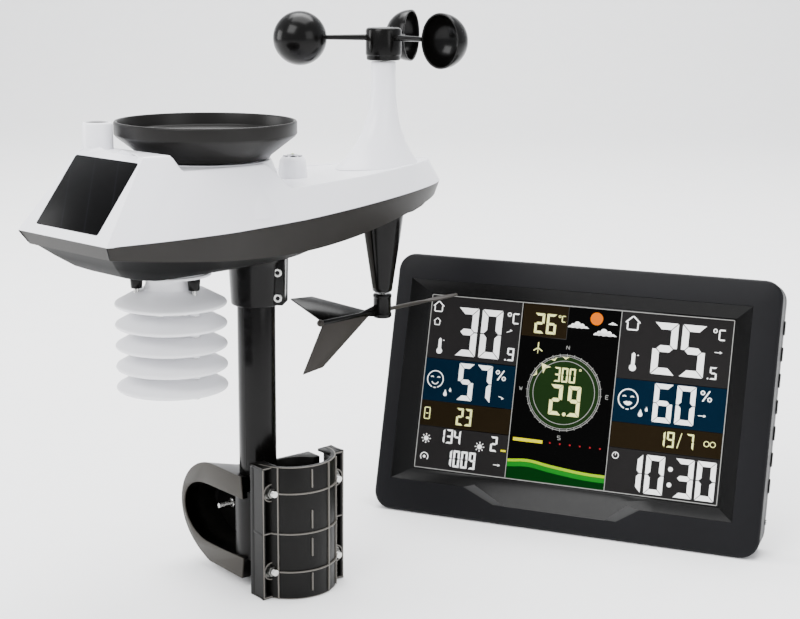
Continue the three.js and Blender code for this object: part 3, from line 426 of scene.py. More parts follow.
def roof_level(x):
    """High at the stern, a seat for the funnel, then a low fore deck that rises a little."""
    deck = ROOF_DECK + 0.014 * np.maximum(x - 8, 0)
    seat = ROOF_SEAT + (ROOF_STERN - ROOF_SEAT) * (1 - smooth(-99, -91, x))
    return seat + (deck - seat) * smooth(-30, -6, x)


SHARE = np.concatenate([
    [0], np.linspace(0.02, 0.5, 72), np.linspace(0.515, 0.86, 24),
    0.86 + 0.14 * np.sin(np.linspace(0.1, 1, 14) * np.pi / 2)])
ACROSS = np.array([0.95, 0.7, 0.35, 0.0])


def boat(rows):
    """A boat-shaped skin: rows of (x, half, z) from the rim inwards, ruled across its middle.

    Each side carries the rows from stern to bow, the flat runs between the last two rows, and
    the stern is closed by a grid ruled between the two sides' first points."""
    rows = np.asarray(rows)
    edge = rows[-1]
    flat = np.stack([np.column_stack([edge[:, 0], edge[:, 1] * k, edge[:, 2]]) for k in ACROSS])
    near = np.concatenate([rows, flat])
    near[:, :, 1] *= -1
    far = near[:-1][::-1].copy()
    far[:, :, 1] *= -1
    skin = grid(np.concatenate([near, far]))
    columns = np.concatenate([[1], ACROSS, -ACROSS[:-1][::-1], [-1]])
    end = rows[:, 0][:, None, :] * np.ones((1, len(columns), 1))
    end[:, :, 1] *= -columns
    return merge(skin, grid(end))


def upper_cover():
    """Straight leaning walls from the seam line to the roof line, closed by the roof.

    Towards the bow the wall stands a little above the deck as a thin lip."""
    seam_x = STERN + (BOW - STERN) * SHARE
    full = hull_half(seam_x)
    seam_z = seam_level(seam_x) + 0.2
    roof_x = ROOF_X + (BOW - 13 - ROOF_X) * SHARE
    roof_z = roof_level(roof_x)
    lean = 0.27 - 0.15 * smooth(20, 80, roof_x)
    half = np.maximum(full - lean * (roof_z - seam_z) * np.minimum(1, full / 12), 0)
    half = np.minimum(half, ROOF_HALF + 0.35 * (roof_x - ROOF_X))
    soft = np.minimum(1, half / 4)
    rows = []
    for t, draw, sink in ((0, 0, 0), (0.03, 0, 0), (0.5, 0, 0), (0.94, 0, 0), (0.975, 0.05, 0),
                          (0.995, 0.25, 0.15), (1.0, 0.7, 0.05), (1.0, 1.3, 0.0)):
        x = seam_x + (roof_x - seam_x) * t
        y = full + (half - full) * t - draw * soft
        z = seam_z + (roof_z - seam_z) * t - sink
        rows.append(np.column_stack([x, y, z]))
    lip = 1.0 * smooth(0, 24, roof_x)
    for draw, drop in ((0.955, 0.25), (0.945, 1.0), (0.92, 1.0)):
        x = roof_x - (roof_x - 20) * (1 - draw) * smooth(60, 160, roof_x)
        rows.append(np.column_stack([x, half * draw - 1.0 * soft * (roof_x < 160),
                                     roof_z - lip * drop]))
    piece("upper_cover_skin", [(boat(rows), WHITE)], UNIT, "sensor_unit",
          ["upper_cover"], shell=WALL, smooth=42)


def cover_fittings():
    """The funnel's conical seat, the light sensor's post and the level's turret."""
    seat = lathe([[0, 268], [53, 268], [51, 276], [48.2, 285], [42.4, 300.2], [41.6, 301.4],
                  [38.8, 301.6], [38.8, 290], [0, 290]], FUNNEL_X)
    post = lathe([[0, 298], [10.4, 298], [9.8, 311], [9.5, 326.4], [8.8, 327.4],
                  [7.4, 327.4], [7.4, 325], [0, 325]], *POST, 64)
    turret = lathe([[0, 281], [10.4, 281], [9.9, 284], [9.6, 290], [8.9, 294.4], [7.2, 297.0],
                    [6.6, 297.2], [6.4, 296.4], [6.4, 291], [0, 291]], LEVEL_X, 0, 64)
    piece("cover_seat_and_posts", [(seat, WHITE), (post, WHITE), (turret, WHITE)], UNIT,
          "sensor_unit", bevel=0.3, smooth=40)
    dome = lathe([[0, 327.8], [4.5, 327.7], [7.0, 327.2], [7.2, 324.4], [0, 324.4]], *POST, 48)
    piece("light_sensor_window", [(dome, SMOKE)], UNIT, "sensor_unit",
          ["light_sensor_lens"])
    cap = lathe([[0, 297.6], [3.6, 297.4], [6.1, 296.6], [6.3, 291.2], [0, 291.2]], LEVEL_X, 0, 48)
    ring = lathe([[1.5, 297.2], [2.2, 297.2], [2.2, 298.6], [1.5, 298.6], [1.5, 297.2]], LEVEL_X,
                 0, 32)
    ribs = [turned_about(block(LEVEL_X - 6.6, LEVEL_X + 6.6, -0.4, 0.4, 292.5, 297.9), turn,
                         LEVEL_X)
            for turn in (20, 80, 140)]
    bubble = lathe([[0, 299.2], [1.0, 298.9], [1.3, 298.2], [0, 297.8]], LEVEL_X, 0, 24)
    piece("level_vial_and_ribs", [(cap, SMOKE), (ring, SHIELD), (merge(*ribs), WHITE),
                                  (bubble, SPIRIT)],
          UNIT, "sensor_unit", ["level_vial"])


def hull_row(inset, level):
    """The hull's outline drawn in by inset at the height that level gives at each x."""
    x = STERN + inset + (BOW - STERN - 2 * inset) * SHARE
    half = hull_half(STERN + (BOW - STERN) * SHARE) * (1 - inset / HALF)
    return np.column_stack([x, half, level(x)])


def lower_housing():
    """The tub: a crisp leaning band under the seam, then a recessed underside painted darker as
    painted shade.
    """
    band = [
        hull_row(0.4, lambda x: seam_level(x) - 0.2),
        hull_row(2.6, lambda x: seam_level(x) * 0.5 + band_foot(x) * 0.5),
        hull_row(5.0, band_foot),
    ]
    under = [
        hull_row(5.0, band_foot),
        hull_row(9.0, lambda x: band_foot(x) - 0.8),
        hull_row(17, lambda x: band_foot(x) * 0.45 + belly_level(x) * 0.55),
        hull_row(26, lambda x: belly_level(x) + 1.0),
        hull_row(34, belly_level),
    ]
    sides = []
    for side in (-1, 1):
        rows = np.array(band)
        rows[:, :, 1] *= side
        sides.append(grid(rows))
    across = np.linspace(-1, 1, 9)
    sill = np.array(band)[:, 0][:, None, :] * np.ones((1, 9, 1))
    sill[:, :, 1] *= across
    piece("lower_housing_skin", [(merge(*sides, grid(sill)), GREY), (boat(under), BELLY_PAINTED_SHADE)],
          UNIT, "sensor_unit", ["lower_housing"], shell=WALL, smooth=38)
    t = np.linspace(0, 1, 5)[:, None]
    # A thin dark rod at each stern hip: painted shade standing for the notch there.
    notch_shade_rod = merge(*[tube(np.stack([
        [-153.7, side * 45.9, 261.7] * (1 - k) + np.array([-149.4, side * 42.2, 254.4]) * k
        + np.column_stack([circle(0, 0, 0.5, 8), np.zeros(8)]) for k in t])) for side in (-1, 1)])
    pad = lathe([[0, 232.4], [23.4, 232.4], [24, 231.6], [24.2, 230.6], [23.4, 230.2], [0, 230.2]],
                SHIELD_X)
    ribs = [turned_about(block(20, 44, -1, 1, 232, 240), turn) for turn in (25, 155, 205)]
    piece("belly_pad_and_ribs", [(pad, SHIELD), (merge(*ribs), GREY), (notch_shade_rod, SMOKE)], UNIT,
          "sensor_unit",
          bevel=0.4)


def battery_door():
    """A flat lid with a raised border and a ribbed thumb grip."""
    x0, x1, half, z = 40.3, 93.7, 17.2, BELLY_PAD
    plate = block(x0, x1, -half, half, z, z + 2)
    border = merge(block(x0 + 1, x1 - 1, half - 2.4, half - 1, z - 0.5, z + 0.2),
                   block(x0 + 1, x1 - 1, 1 - half, 2.4 - half, z - 0.5, z + 0.2))
    grip = merge(*[block(x1 - 12 + 2 * i, x1 - 11 + 2 * i, -7 + i, 7 - i, z - 1.1, z + 0.1)
                   for i in range(4)])
    piece("battery_door_lid", [(plate, GREY), (border, GREY), (grip, GREY)], UNIT,
          "sensor_battery_door", ["sensor_battery_door"], bevel=0.25)


def solar_panel():
    """A flat laminate with a thin white bezel, laid on the sloping stern."""
    run, rise = ROOF_X - STERN, ROOF_STERN - SEAM
    length = np.hypot(run, rise)
    along = np.array([run / length, 0, rise / length])
    out = np.array([-rise / length, 0, run / length])
    sill = np.array([STERN, 0, SEAM])

    def on_slope(half, low, high, lift, radius):
        corners = [(high - radius, half - radius, 0), (high - radius, radius - half, -90),
                   (low + radius, radius - half, 180), (low + radius, half - radius, 90)]
        outline = np.vstack([arc(x, y, radius, a + 90, a, 8) for x, y, a in corners])
        return laid(prism(outline, *lift), sill, along, (0, 1, 0), out)

    middle = 31.4
    laminate = on_slope(32, middle - 25, middle + 26, (-1.2, 0.35), 1.6)
    gasket = on_slope(33.2, middle - 26.2, middle + 27.2, (-1.6, 0.12), 2.4)
    piece("solar_laminate_panel", [(laminate, SOLAR), (gasket, WHITE)], UNIT,
          "sensor_unit", ["solar_panel"], bevel=0.15)


# ---------------------------------------------------------------- rain gauge
def rain_funnel():
    """A turned bowl: straight band, sloping cone and a neck that seats in the cover."""
    profile = [[4.6, 290], [7.2, 290], [7.2, 301], [30, 307], [40.6, 309.8], [38.6, 303.6],
               [38.4, 302.4], [FUNNEL_NECK - 0.4, 302.4], [FUNNEL_NECK, 303], [42.4, 304.6],
               [57.6, 316.4], [FUNNEL_RIM, FUNNEL_BAND + 0.6], [FUNNEL_RIM, 325.2],
               [58.2, FUNNEL_TOP], [57.0, FUNNEL_TOP], [56.6, 325.4], [56.4, 318.6],
               [55.4, 317.6], [20, 307.4], [4.6, 303], [4.6, 290]]
    bowl = lathe(profile, FUNNEL_X, 0, 128)
    tab = merge(*[turned_about(block(FUNNEL_X + 57, FUNNEL_X + 58.7, -3, 3, 318, 325), turn,
                               FUNNEL_X)
                  for turn in (-40, 80, 200)])
    piece("rain_funnel_bowl", [(bowl, FUNNEL), (tab, FUNNEL)], UNIT, "rain_funnel",
          ["rain_funnel"], bevel=0.25, smooth=30)
    dish = lathe([[0, 307.6], [12, 307.6], [13, 308.2], [12.6, 309.1], [0, 309.4]], FUNNEL_X, 0,
                 64)
    bars = merge(*[block(FUNNEL_X - reach, FUNNEL_X + reach, y - 0.6, y + 0.6, 309, 310.2)
                   for y, reach in ((-8, 8), (-4, 11), (0, 12), (4, 11), (8, 8))])
    foot = lathe([[3.1, 303.6], [4.1, 303.6], [4.1, 307.7], [3.1, 307.7], [3.1, 303.6]], FUNNEL_X)
    piece("debris_screen_grid", [(dish, BLACK), (bars, BLACK), (foot, BLACK)], UNIT,
          "rain_funnel", ["debris_screen"], bevel=0.15)


# ---------------------------------------------------------------- wind parts
def anemometer_stalk():
    """Upright tube whose section swells to a long oval foot with the 3.2nd power of depth."""
    foot = ROOF_DECK + 0.2
    z = STALK_TOP - (STALK_TOP - foot) * np.linspace(0, 1, 42) ** 0.85
    turn = np.linspace(0, TAU, 96, endpoint=False)
    depth = ((STALK_TOP - z) / (STALK_TOP - foot)) ** 3.2
    reach = np.where(np.cos(turn) < 0, STALK_AFT, STALK_FORE)
    rx = STALK_R + (reach - STALK_R)[None, :] * depth[:, None]
    ry = STALK_R + (STALK_HALF - STALK_R) * depth[:, None]
    x = ROTOR_X + rx * np.cos(turn)
    tower = tube(np.stack([x, ry * np.sin(turn), z[:, None] + 0 * x], -1))
    piece("anemometer_tower", [(tower, WHITE)], UNIT, "sensor_unit",
          ["anemometer_stalk"], bevel=0.5, smooth=40)


def cup_shell():
    """A hemispherical cup with a rolled rim; its mouth opens along -y at the arm's end."""
    t = np.linspace(0, np.pi / 2, 20)
    outside = np.column_stack([CUP * np.sin(t), CUP * np.cos(t)])
    inside = np.column_stack([(CUP - 1.4) * np.sin(t), (CUP - 1.4) * np.cos(t)])[::-1]
    bowl, faces = lathe(np.vstack([outside, [[CUP, -0.8], [CUP - 1.2, -0.8]], inside]), sides=72)
    upright = np.column_stack([bowl[:, 0] + ARM, bowl[:, 2], bowl[:, 1] + CUP_Z])
    return upright, faces


def tapered_arm():
    """A spoke of oval section that thins from the hub to the cup."""
    x = np.linspace(ROTOR_HUB - 2, ARM - CUP + 1, 12)
    share = (x - x[0]) / (x[-1] - x[0])
    turn = np.linspace(0, TAU, 24, endpoint=False)
    wide = 2.6 - 0.6 * share
    y = wide[:, None] * np.cos(turn)
    z = CUP_Z + 0.6 + 0.85 * wide[:, None] * np.sin(turn)
    return tube(np.stack([x[:, None] + 0 * y, y, z], -1))


def cup_rotor():
    """A capped hub with three cups on spokes."""
    hub = lathe([[2.3, ROTOR_LOW], [11.6, ROTOR_LOW], [12.2, 359.8], [12.2, 362.4],
                 [ROTOR_HUB, 363],
                 [ROTOR_HUB, 380], [12.2, 381.4], [10.8, ROTOR_HIGH], [4, ROTOR_HIGH],
                 [3.6, 381.4],
                 [0, 381.4], [0, 380.4], [2.3, 380.4], [2.3, ROTOR_LOW]], ROTOR_X)
    arms = []
    for turn in CUP_TURNS:
        for part in (cup_shell(), tapered_arm()):
            points, faces = turned_about(part, turn)
            arms.append((points + [ROTOR_X, 0, 0], faces))
    piece("cup_rotor_moulding", [(hub, BLACK), (merge(*arms), BLACK)], UNIT, "cup_rotor",
          ["cup_rotor"], bevel=0.3, smooth=40)


def vane_turret():
    """A cone that narrows to the vane's bearing, with a fin on each side to the belly."""
    cone = lathe([[2.3, 190.6], [6.6, 190.6], [7.3, 191.6], [7.6, 194], [13.2, 232], [14.6, 243],
                  [15.4, 250], [3, 250], [2.3, 190.6]], ROTOR_X)
    fins = [prism([[ROTOR_X + side * 7.2, 193], [ROTOR_X + side * 9.4, 194],
                   [ROTOR_X + side * 20.5, 247], [ROTOR_X + side * 12, 247]], -1.1, 1.1, "y")
            for side in (-1, 1)]
    piece("vane_turret_cone", [(cone, BLACK), (merge(*fins), GREY)], UNIT, "sensor_unit",
          ["vane_turret"], bevel=0.4)


def fin(sweep, length, cant, material):
    """A thin swept plate with its root on the boom, turned about the boom by its cant."""
    root, tip = -VANE_TAIL + 2.9, -VANE_TAIL + 2.9 - sweep
    outline = np.array([[-12, 0.6], [root, 0.6], [tip, length],
                        [-VANE_TAIL + 22 - sweep, length - 2]])
    plate, faces = prism(outline, -0.6, 0.6)
    c, s = np.cos(np.radians(cant)), np.sin(np.radians(cant))
    y = plate[:, 1] * c - plate[:, 2] * s
    z = plate[:, 1] * s + plate[:, 2] * c
    return (np.column_stack([plate[:, 0] + ROTOR_X, y, z + VANE_Z]), faces), material


def wind_vane():
    """A hub with a tail boom, two fins and a long pointer that ends in a leaf."""
    nose = 82.5
    hub = lathe([[2.3, 171], [6, 171], [7, 172], [7, 174.2], [6.6, 174.6], [6.6, 186], [7, 186.6],
                 [7, 188], [6.2, 189], [2.3, 189], [2.3, 171]], ROTOR_X)
    boom = prism(circle(0, VANE_Z, 1.7, 24), ROTOR_X - VANE_TAIL, ROTOR_X - 5, "x")
    turn = np.linspace(-90, 90, 13)
    knob = lathe(np.column_stack([2.6 * np.cos(np.radians(turn)),
                                  VANE_Z + 2.6 * np.sin(np.radians(turn))]), ROTOR_X - VANE_TAIL,
                 0, 32)
    x = np.linspace(5, nose, 40)
    t = (x - 5) / (nose - 5)
    wide = 1.5 + 2.7 * smooth(0.45, 0.72, t) * np.sqrt(np.clip(1 - smooth(0.8, 1.0, t), 0, 1))
    thick = 1.5 - 0.5 * smooth(0.4, 0.6, t)
    around = np.linspace(0, TAU, 20, endpoint=False)
    y = wide[:, None] * np.cos(around)
    z = VANE_Z + thick[:, None] * np.sin(around)
    pointer = tube(np.stack([ROTOR_X + x[:, None] + 0 * y, y, z], -1))
    gusset = prism([[ROTOR_X - 30, VANE_Z], [ROTOR_X - 5, VANE_Z + 5.5],
                    [ROTOR_X - 5, VANE_Z - 4]],
                   -0.8, 0.8, "y")
    # The knob, pointer and lower fin take the grey finish: painted light on black plastic.
    pieces = [(hub, BLACK), (boom, BLACK), (knob, FIN_PAINTED_LIGHT), (pointer, FIN_PAINTED_LIGHT), (gusset, BLACK)]
    piece("wind_vane_moulding", pieces + [fin(20, 34.6, -90, FIN_PAINTED_LIGHT), fin(5, 32, 25, BLACK)], UNIT,
          "wind_vane", ["wind_vane"], bevel=0.25)


# ---------------------------------------------------------------- climate shield
def shield_plates():
    """Five dished plates: a rolled lip, a shallow cone and, on the first, a neck and flange."""
    for index in range(5):
        low = SHIELD_LOW - index * SHIELD_PITCH
        lip = [[22, low + 7.4], [SHIELD_R - 2.2, low + 0.2], [SHIELD_R - 1.2, low],
               [SHIELD_R - 0.3, low + 0.5], [SHIELD_R, low + 1.6], [SHIELD_R - 0.6, low + 2.6]]
        if index == 0:
            rise = [[30, low + 5.6], [23, low + 9.4], [SHIELD_NECK + 1.6, low + 11.4],
                    [SHIELD_NECK, low + 14], [SHIELD_NECK, low + 19], [26.4, low + 19.8],
                    [26, low + 21.4], [11, low + 21.4], [11, low + 9]]
        else:
            rise = [[30, low + 5.7], [24, low + 8.8], [22, low + 9.5], [17, low + 9.5],
                    [17, low + 7.6]]
        name = f"shield_plate_{index + 1}"
        dish = lathe(lip + rise + [lip[0]], SHIELD_X, 0, 112)
        piece(name + "_dish", [(dish, SHIELD)], UNIT, "sensor_unit", [name],
              bevel=0.3, smooth=40)


def shield_spacers():
    """Long screws through the plates, each with a head below, sleeves between and a boss above."""
    for index, turn in enumerate(np.radians([154, 274, 34])):
        x, y = SHIELD_X + 22 * np.cos(turn), 22 * np.sin(turn)
        head = lathe([[0, 150.7], [2.4, 150.7], [3.2, 151.3], [3.2, 154], [1.7, 154.2],
                      [0, 154.2]],
                     x, y, 32)
        rod = lathe([[0, 154], [1.7, 154], [1.7, 223], [0, 223]], x, y, 24)
        sleeves = [lathe([[1.75, z], [3.1, z], [3.1, z + 4.6], [1.75, z + 4.6], [1.75, z]], x, y,
                         32)
                   for z in SHIELD_LOW + 9.6 - SHIELD_PITCH * np.arange(1, 5)]
        boss = lathe([[0, 221.9], [3.6, 221.9], [4.2, 228.9], [0, 228.9]], x, y, 32)
        name = f"shield_spacer_{index + 1}"
        piece(name + "_screw", [(head, ZINC), (rod, ZINC), (merge(*sleeves), SHIELD),
                                (boss, BLACK)],
              UNIT, "sensor_unit", [name], bevel=0.2)


# ---------------------------------------------------------------- mast
def mast():
    """The moulded mast, its tapered socket with a split clamping lug, and the lug's screws."""
    tube_part = lathe([[11.2, MAST_BOTTOM], [MAST_R, MAST_BOTTOM], [MAST_R, MAST_TOP],
                       [11.2, MAST_TOP], [11.2, MAST_BOTTOM]], sides=128)
    ribs = [turned_about(block(MAST_R - 0.4, MAST_R + 0.15, -0.35, 0.35, MAST_BOTTOM, 199), turn)
            for turn in (10, 190)]
    piece("mast_pole", [(tube_part, BLACK), (merge(*ribs), BLACK)], UNIT, "sensor_unit",
          ["mast_tube"], bevel=0.3)
    wall = lathe([[13.3, 199.6], [16.4, 199.6], [17, 200.4], [17.2, 203], [18.3, 225], [19.4, 229],
                  [22.4, 232.2],
                  [13.3, 232.2], [13.3, 199.6]])
    lug = merge(*[turned_about(prism([[10, 200.4], [20, 200.4], [21, 201.4], [21.6, 231.6],
                                      [10, 231.6]], a, b, "y"), LUG_TURN)
                  for a, b in ((-9.0, -0.8), (0.8, 5.2))])
    piece("mast_socket_collar", [(wall, BLACK), (lug, BLACK)], UNIT, "sensor_unit",
          ["mast_socket"], bevel=0.5)
    for index, z in enumerate((223, 205.6)):
        ring = lathe([[1.5, -9.7], [2.7, -9.7], [3.0, -9.3], [3.0, -6], [0, -6], [0, -9.1],
                      [1.5, -9.1],
                      [1.5, -9.7]], sides=40)
        shank = lathe([[0, -6.2], [1.6, -6.2], [1.6, 6.2], [0, 6.2]], sides=24)
        # The hex socket is a thin dark disc: painted shade standing for the recess.
        socket = prism(circle(0, 0, 1.6, 6), -9.2, -9.02)
        lay = [laid(part, (17, 0, z), (1, 0, 0), (0, 0, -1), (0, 1, 0)) for part in (ring, shank,
                                                                                     socket)]
        spun = [turned_about(part, LUG_TURN) for part in lay]
        name = f"socket_screw_{index + 1}"
        piece(name + "_cap", [(spun[0], ZINC), (spun[1], ZINC), (spun[2], SMOKE)], UNIT,
              "sensor_unit", [name], bevel=0.15)


# ---------------------------------------------------------------- pole mount
def bezier(a, b, c, d, count=14):
    """A cubic curve from a to d with handles at b and c."""
    t = np.linspace(0, 1, count)[:, None]
    a, b, c, d = (np.array(p, float) for p in (a, b, c, d))
    return a * (1 - t) ** 3 + 3 * b * t * (1 - t) ** 2 + 3 * c * t * t * (1 - t) + d * t**3


def mounting_base():
    """A hook of flat strip with a thin web, round the mast's tube, and a saddle for the pole."""
    middle = (HOOK_LOW + HOOK_HIGH) / 2
    upper = bezier((30, HOOK_HIGH), (56, HOOK_HIGH), (73.5, 62), (73.5, middle))
    lower = bezier((73.5, middle), (73.5, 26), (58, HOOK_LOW + 6), (36, HOOK_LOW))
    outside = np.vstack([[[-6, HOOK_HIGH]], upper, lower[1:], [[-6, HOOK_LOW]]])
    inner_low = bezier((-8, 22.6), (10, 21.6), (24, 21), (40, 21), 6)
    inner_bow = bezier((40, 21), (58, 22), (69, 32), (69, 43))
    inner_top = bezier((69, 43), (69, 54), (58, 64), (38, 64.4))
    inside = np.vstack([inner_low, inner_bow[1:], inner_top[1:], [[-8, 65.4]]])
    hoop = np.vstack([outside, inside])
    # The cheek takes the lighter nylon: a painted highlight for the lit side face.
    cheek = prism(hoop, -HOOK_HALF, 1 - HOOK_HALF, "x")
    far = hoop.copy()
    far[:len(outside), 1] -= 7.0 * smooth(50, HOOK_HIGH, outside[:, 1])
    far[:len(outside), 0] -= 5.0 * smooth(30, 70, outside[:, 0])
    levels = [(hoop, 1 - HOOK_HALF), (hoop * 0.5 + far * 0.5, -4), (far, 10)]
    strip = tube(np.array([np.column_stack([np.full(len(line), x), line]) for line, x in levels]))
    web = prism(far[:len(outside)], 9, HOOK_HALF, "x")
    sleeve = lathe([[13.3, 20], [16, 20], [16.3, 21], [16.3, 69], [15.6, 70], [13.3, 70],
                    [13.3, 20]])
    dip = arc(JAW_X, -30, 23, 147.4, 32.6, 24)
    saddle_line = np.vstack([[[JAW_X - 25, -3.6], [JAW_X - 25, -17.6]], dip,
                             [[JAW_X + 25, -17.6], [JAW_X + 25, -3.6]]])
    saddle = prism(saddle_line, 0, 88)
    teeth = merge(*[prism(np.vstack([arc(JAW_X, -30, 22.2, 140, 40, 16),
                                     arc(JAW_X, -30, 23.4, 40, 140, 16)]),
                          z, z + 1.6) for z in np.arange(8, 84, 8)])
    piece("pole_bracket", [(cheek, LIT_SIDE_NYLON), (strip, NYLON), (web, NYLON), (sleeve, NYLON),
                           (saddle, NYLON),
                           (teeth, NYLON)],
          MOUNT, "sensor_unit", ["mounting_base"], bevel=0.7)


def threaded(radius, a, b, pitch=0.8):
    """A screw's shank about its own axis: ridges a pitch apart between a and b."""
    z = np.arange(a, b, pitch / 2)
    r = np.where(np.arange(len(z)) % 2, radius, radius - 0.35)
    profile = np.vstack([[[0, z[0]]], np.column_stack([r, z]), [[0, z[-1]]]])
    return lathe(profile, sides=20)


def along_y(part, x, z):
    """A part made about z, laid along -y through x, z."""
    return laid(part, (x, 0, z), (1, 0, 0), (0, 0, 1), (0, -1, 0))


def clamp_bolts():
    """Washer, hex nut with a chamfer and a threaded end at each corner of the clamp."""
    spots = [(side, z) for side in (-1, 1) for z in BOLT_LEVELS]
    for index, (side, z) in enumerate(spots):
        washer = lathe([[2.5, 31], [4.9, 31], [4.9, 31.5], [2.5, 31.5], [2.5, 31]], sides=40)
        nut = tube([np.column_stack([circle(0, 0, r, 6), np.full(6, h)])
                    for r, h in ((3.3, 31.5), (3.9, 32.0), (3.9, 34.4), (3.3, 34.9))])
        shank = threaded(2.2, 11, 38.2)
        parts = [along_y(part, JAW_X + side * BOLT_SPREAD, z) for part in (washer, nut, shank)]
        name = f"clamp_bolt_{index + 1}"
        piece(name + "_stud", list(zip(parts, (NUT, NUT, ZINC))), MOUNT, "pole_clamp",
              [name])
    shank = threaded(2.0, -6, 19.4)
    nut = prism(circle(0, 0, 3.8, 6), 5, 8.7)
    head = prism(circle(0, 0, 4.2, 6), HOOK_HALF + 0.3, HOOK_HALF + 3.6)
    laid_x = [laid(part, (0, 43, 44), (0, 1, 0), (0, 0, 1), (1, 0, 0)) for part in (shank, nut,
                                                                                    head)]
    piece("bracket_bolt", [(part, ZINC) for part in laid_x], MOUNT, "sensor_unit",
          ["base_bolt"], bevel=0.2)


def ribbed_arc(radius, thick, z0, z1, first=180, last=360, count=48):
    """A band of arc about the pole's axis between two heights."""
    out = arc(JAW_X, -JAW_BACK, radius, first, last, count)
    back = arc(JAW_X, -JAW_BACK, radius - thick, last, first, count)
    return prism(np.vstack([out, back]), z0, z1)


def pole_clamp():
    """A half-round shell with ribs between two framed flanges; ribs, rims and flange edges are
    painted pale as painted highlights.
    """
    shell = ribbed_arc(PIPE, 3.2, 0, JAW_TOP)
    rims = merge(ribbed_arc(PIPE + 0.15, 1.0, JAW_TOP - 0.5, JAW_TOP + 0.15, 181, 359),
                 ribbed_arc(PIPE + 0.15, 1.0, -0.1, 0.5, 181, 359))
    hoops = merge(*[ribbed_arc(PIPE + 1.2, 1.5, z - 0.45, z + 0.45, 187, 353)
                    for z in (BOLT_LEVELS[0], 46.8, BOLT_LEVELS[1])])
    ridges = [ribbed_arc(PIPE + 1.2, 1.5, 0.2, JAW_TOP - 0.2, a - 0.9, a + 0.9, 4) for a in (218,
                                                                                             290,
                                                                                             316)]
    ridges += [ribbed_arc(PIPE + 1.2, 1.5, z, z + 13, 261.2, 262.8, 4) for z in (5, 30, 50, 79)]
    flanges, edges = [], []
    for side in (-1, 1):
        inner, outer = JAW_X + side * 22.5, JAW_X + side * JAW_HALF
        lip = outer - side * 2.4
        flanges.append(block(*sorted((JAW_X + side * 29.5, outer)), -JAW_BACK - 4, -JAW_BACK, 0,
                             JAW_TOP))
        flanges.append(block(*sorted((lip, outer)), -JAW_FRONT, -JAW_BACK, 0, JAW_TOP))
        flanges += [block(*sorted((inner, outer)), -JAW_FRONT, -JAW_BACK, z, z + 2.0)
                    for z in (0, 45.8, JAW_TOP - 2.0)]
        # The edges list holds thin pale strips on the flanges' front edges and rings on the
        # bosses: painted highlights.
        edges.append(block(*sorted((outer - side * 0.1, outer - side * 1.1)), -JAW_FRONT - 0.35,
                           -JAW_FRONT + 0.6,
                           1.5, JAW_TOP - 1.5))
        edges += [block(*sorted((inner, outer - side * 0.3)), -JAW_FRONT - 0.3, -JAW_FRONT + 0.6,
                        z, z + 0.9)
                  for z in (0.4, 46.3, JAW_TOP - 1.3)]
        for z in BOLT_LEVELS:
            boss = lathe([[2.7, 18.5], [6.4, 18.5], [6.4, 32.6], [5.4, 32.6], [5.4, 30.9],
                          [2.7, 30.9],
                          [2.7, 18.5]], sides=40)
            ring = lathe([[5.5, 32.4], [6.4, 32.4], [6.4, 33.0], [5.5, 33.0], [5.5, 32.4]],
                         sides=40)
            flanges.append(along_y(boss, JAW_X + side * BOLT_SPREAD, z))
            edges.append(along_y(ring, JAW_X + side * BOLT_SPREAD, z))
    piece("pole_clamp_jaw", [(shell, NYLON), (merge(*flanges), NYLON), (rims, PALE_EDGE_HIGHLIGHT), (hoops, PALE_EDGE_HIGHLIGHT),
                             (merge(*ridges), PALE_EDGE_HIGHLIGHT), (merge(*edges), PALE_EDGE_HIGHLIGHT)],
          MOUNT, "pole_clamp", ["pole_clamp"], bevel=0.3)


# ---------------------------------------------------------------- console
def rounded(left, right, low, high, radius, y, count=12):
    """A rounded rectangle in (x, z) at depth y, as a ring of points."""
    corners = [(right - radius, low + radius, -90), (right - radius, high - radius, 0),
               (left + radius, high - radius, 90), (left + radius, low + radius, 180)]
    flat = np.vstack([arc(x, z, radius, a, a + 90, count) for x, z, a in corners])
    return np.column_stack([flat[:, 0], np.full(len(flat), y), flat[:, 1]])


def case_ring(inset, y):
    """The case's outline at depth y, its foot kept level with the table as the case leans."""
    return rounded(-WIDTH / 2 + inset, WIDTH / 2 - inset, max(y, 0) * LEAN + 0.3 + inset,
                   HEIGHT - inset, max(CORNER - inset * 0.6, 1.5), y)


CHIN_TOP, CHIN_FOOT, CHIN_LOW = (-79.0, 62.0), (-53.0, 45.0), 14.5


def opening(left, right, low, high, y):
    """A rectangle in (x, z) at depth y with as many points as the case's outline.

    The lower side has four corners more, where the chin leaves it."""
    count = 12
    side = np.linspace(0, 1, count)
    right_side = np.column_stack([np.full(count, right), low + (high - low) * side])
    top = np.column_stack([right + (left - right) * side, np.full(count, high)])
    left_side = np.column_stack([np.full(count, left), high + (low - high) * side])
    chin = [CHIN_TOP[0], CHIN_FOOT[0], CHIN_FOOT[1], CHIN_TOP[1]]
    drop = low - CHIN_LOW if low < 30 else 0.0
    across = np.concatenate([[left + 0.01], chin, np.linspace(chin[-1], right, count - 5)[1:],
                             [right]])
    fall = np.concatenate([[0, 0, drop, drop, 0], np.zeros(count - 5)])
    bottom = np.column_stack([across, low - fall])
    flat = np.vstack([right_side, top, left_side, bottom])
    return np.column_stack([flat[:, 0], np.full(len(flat), y), flat[:, 1]])


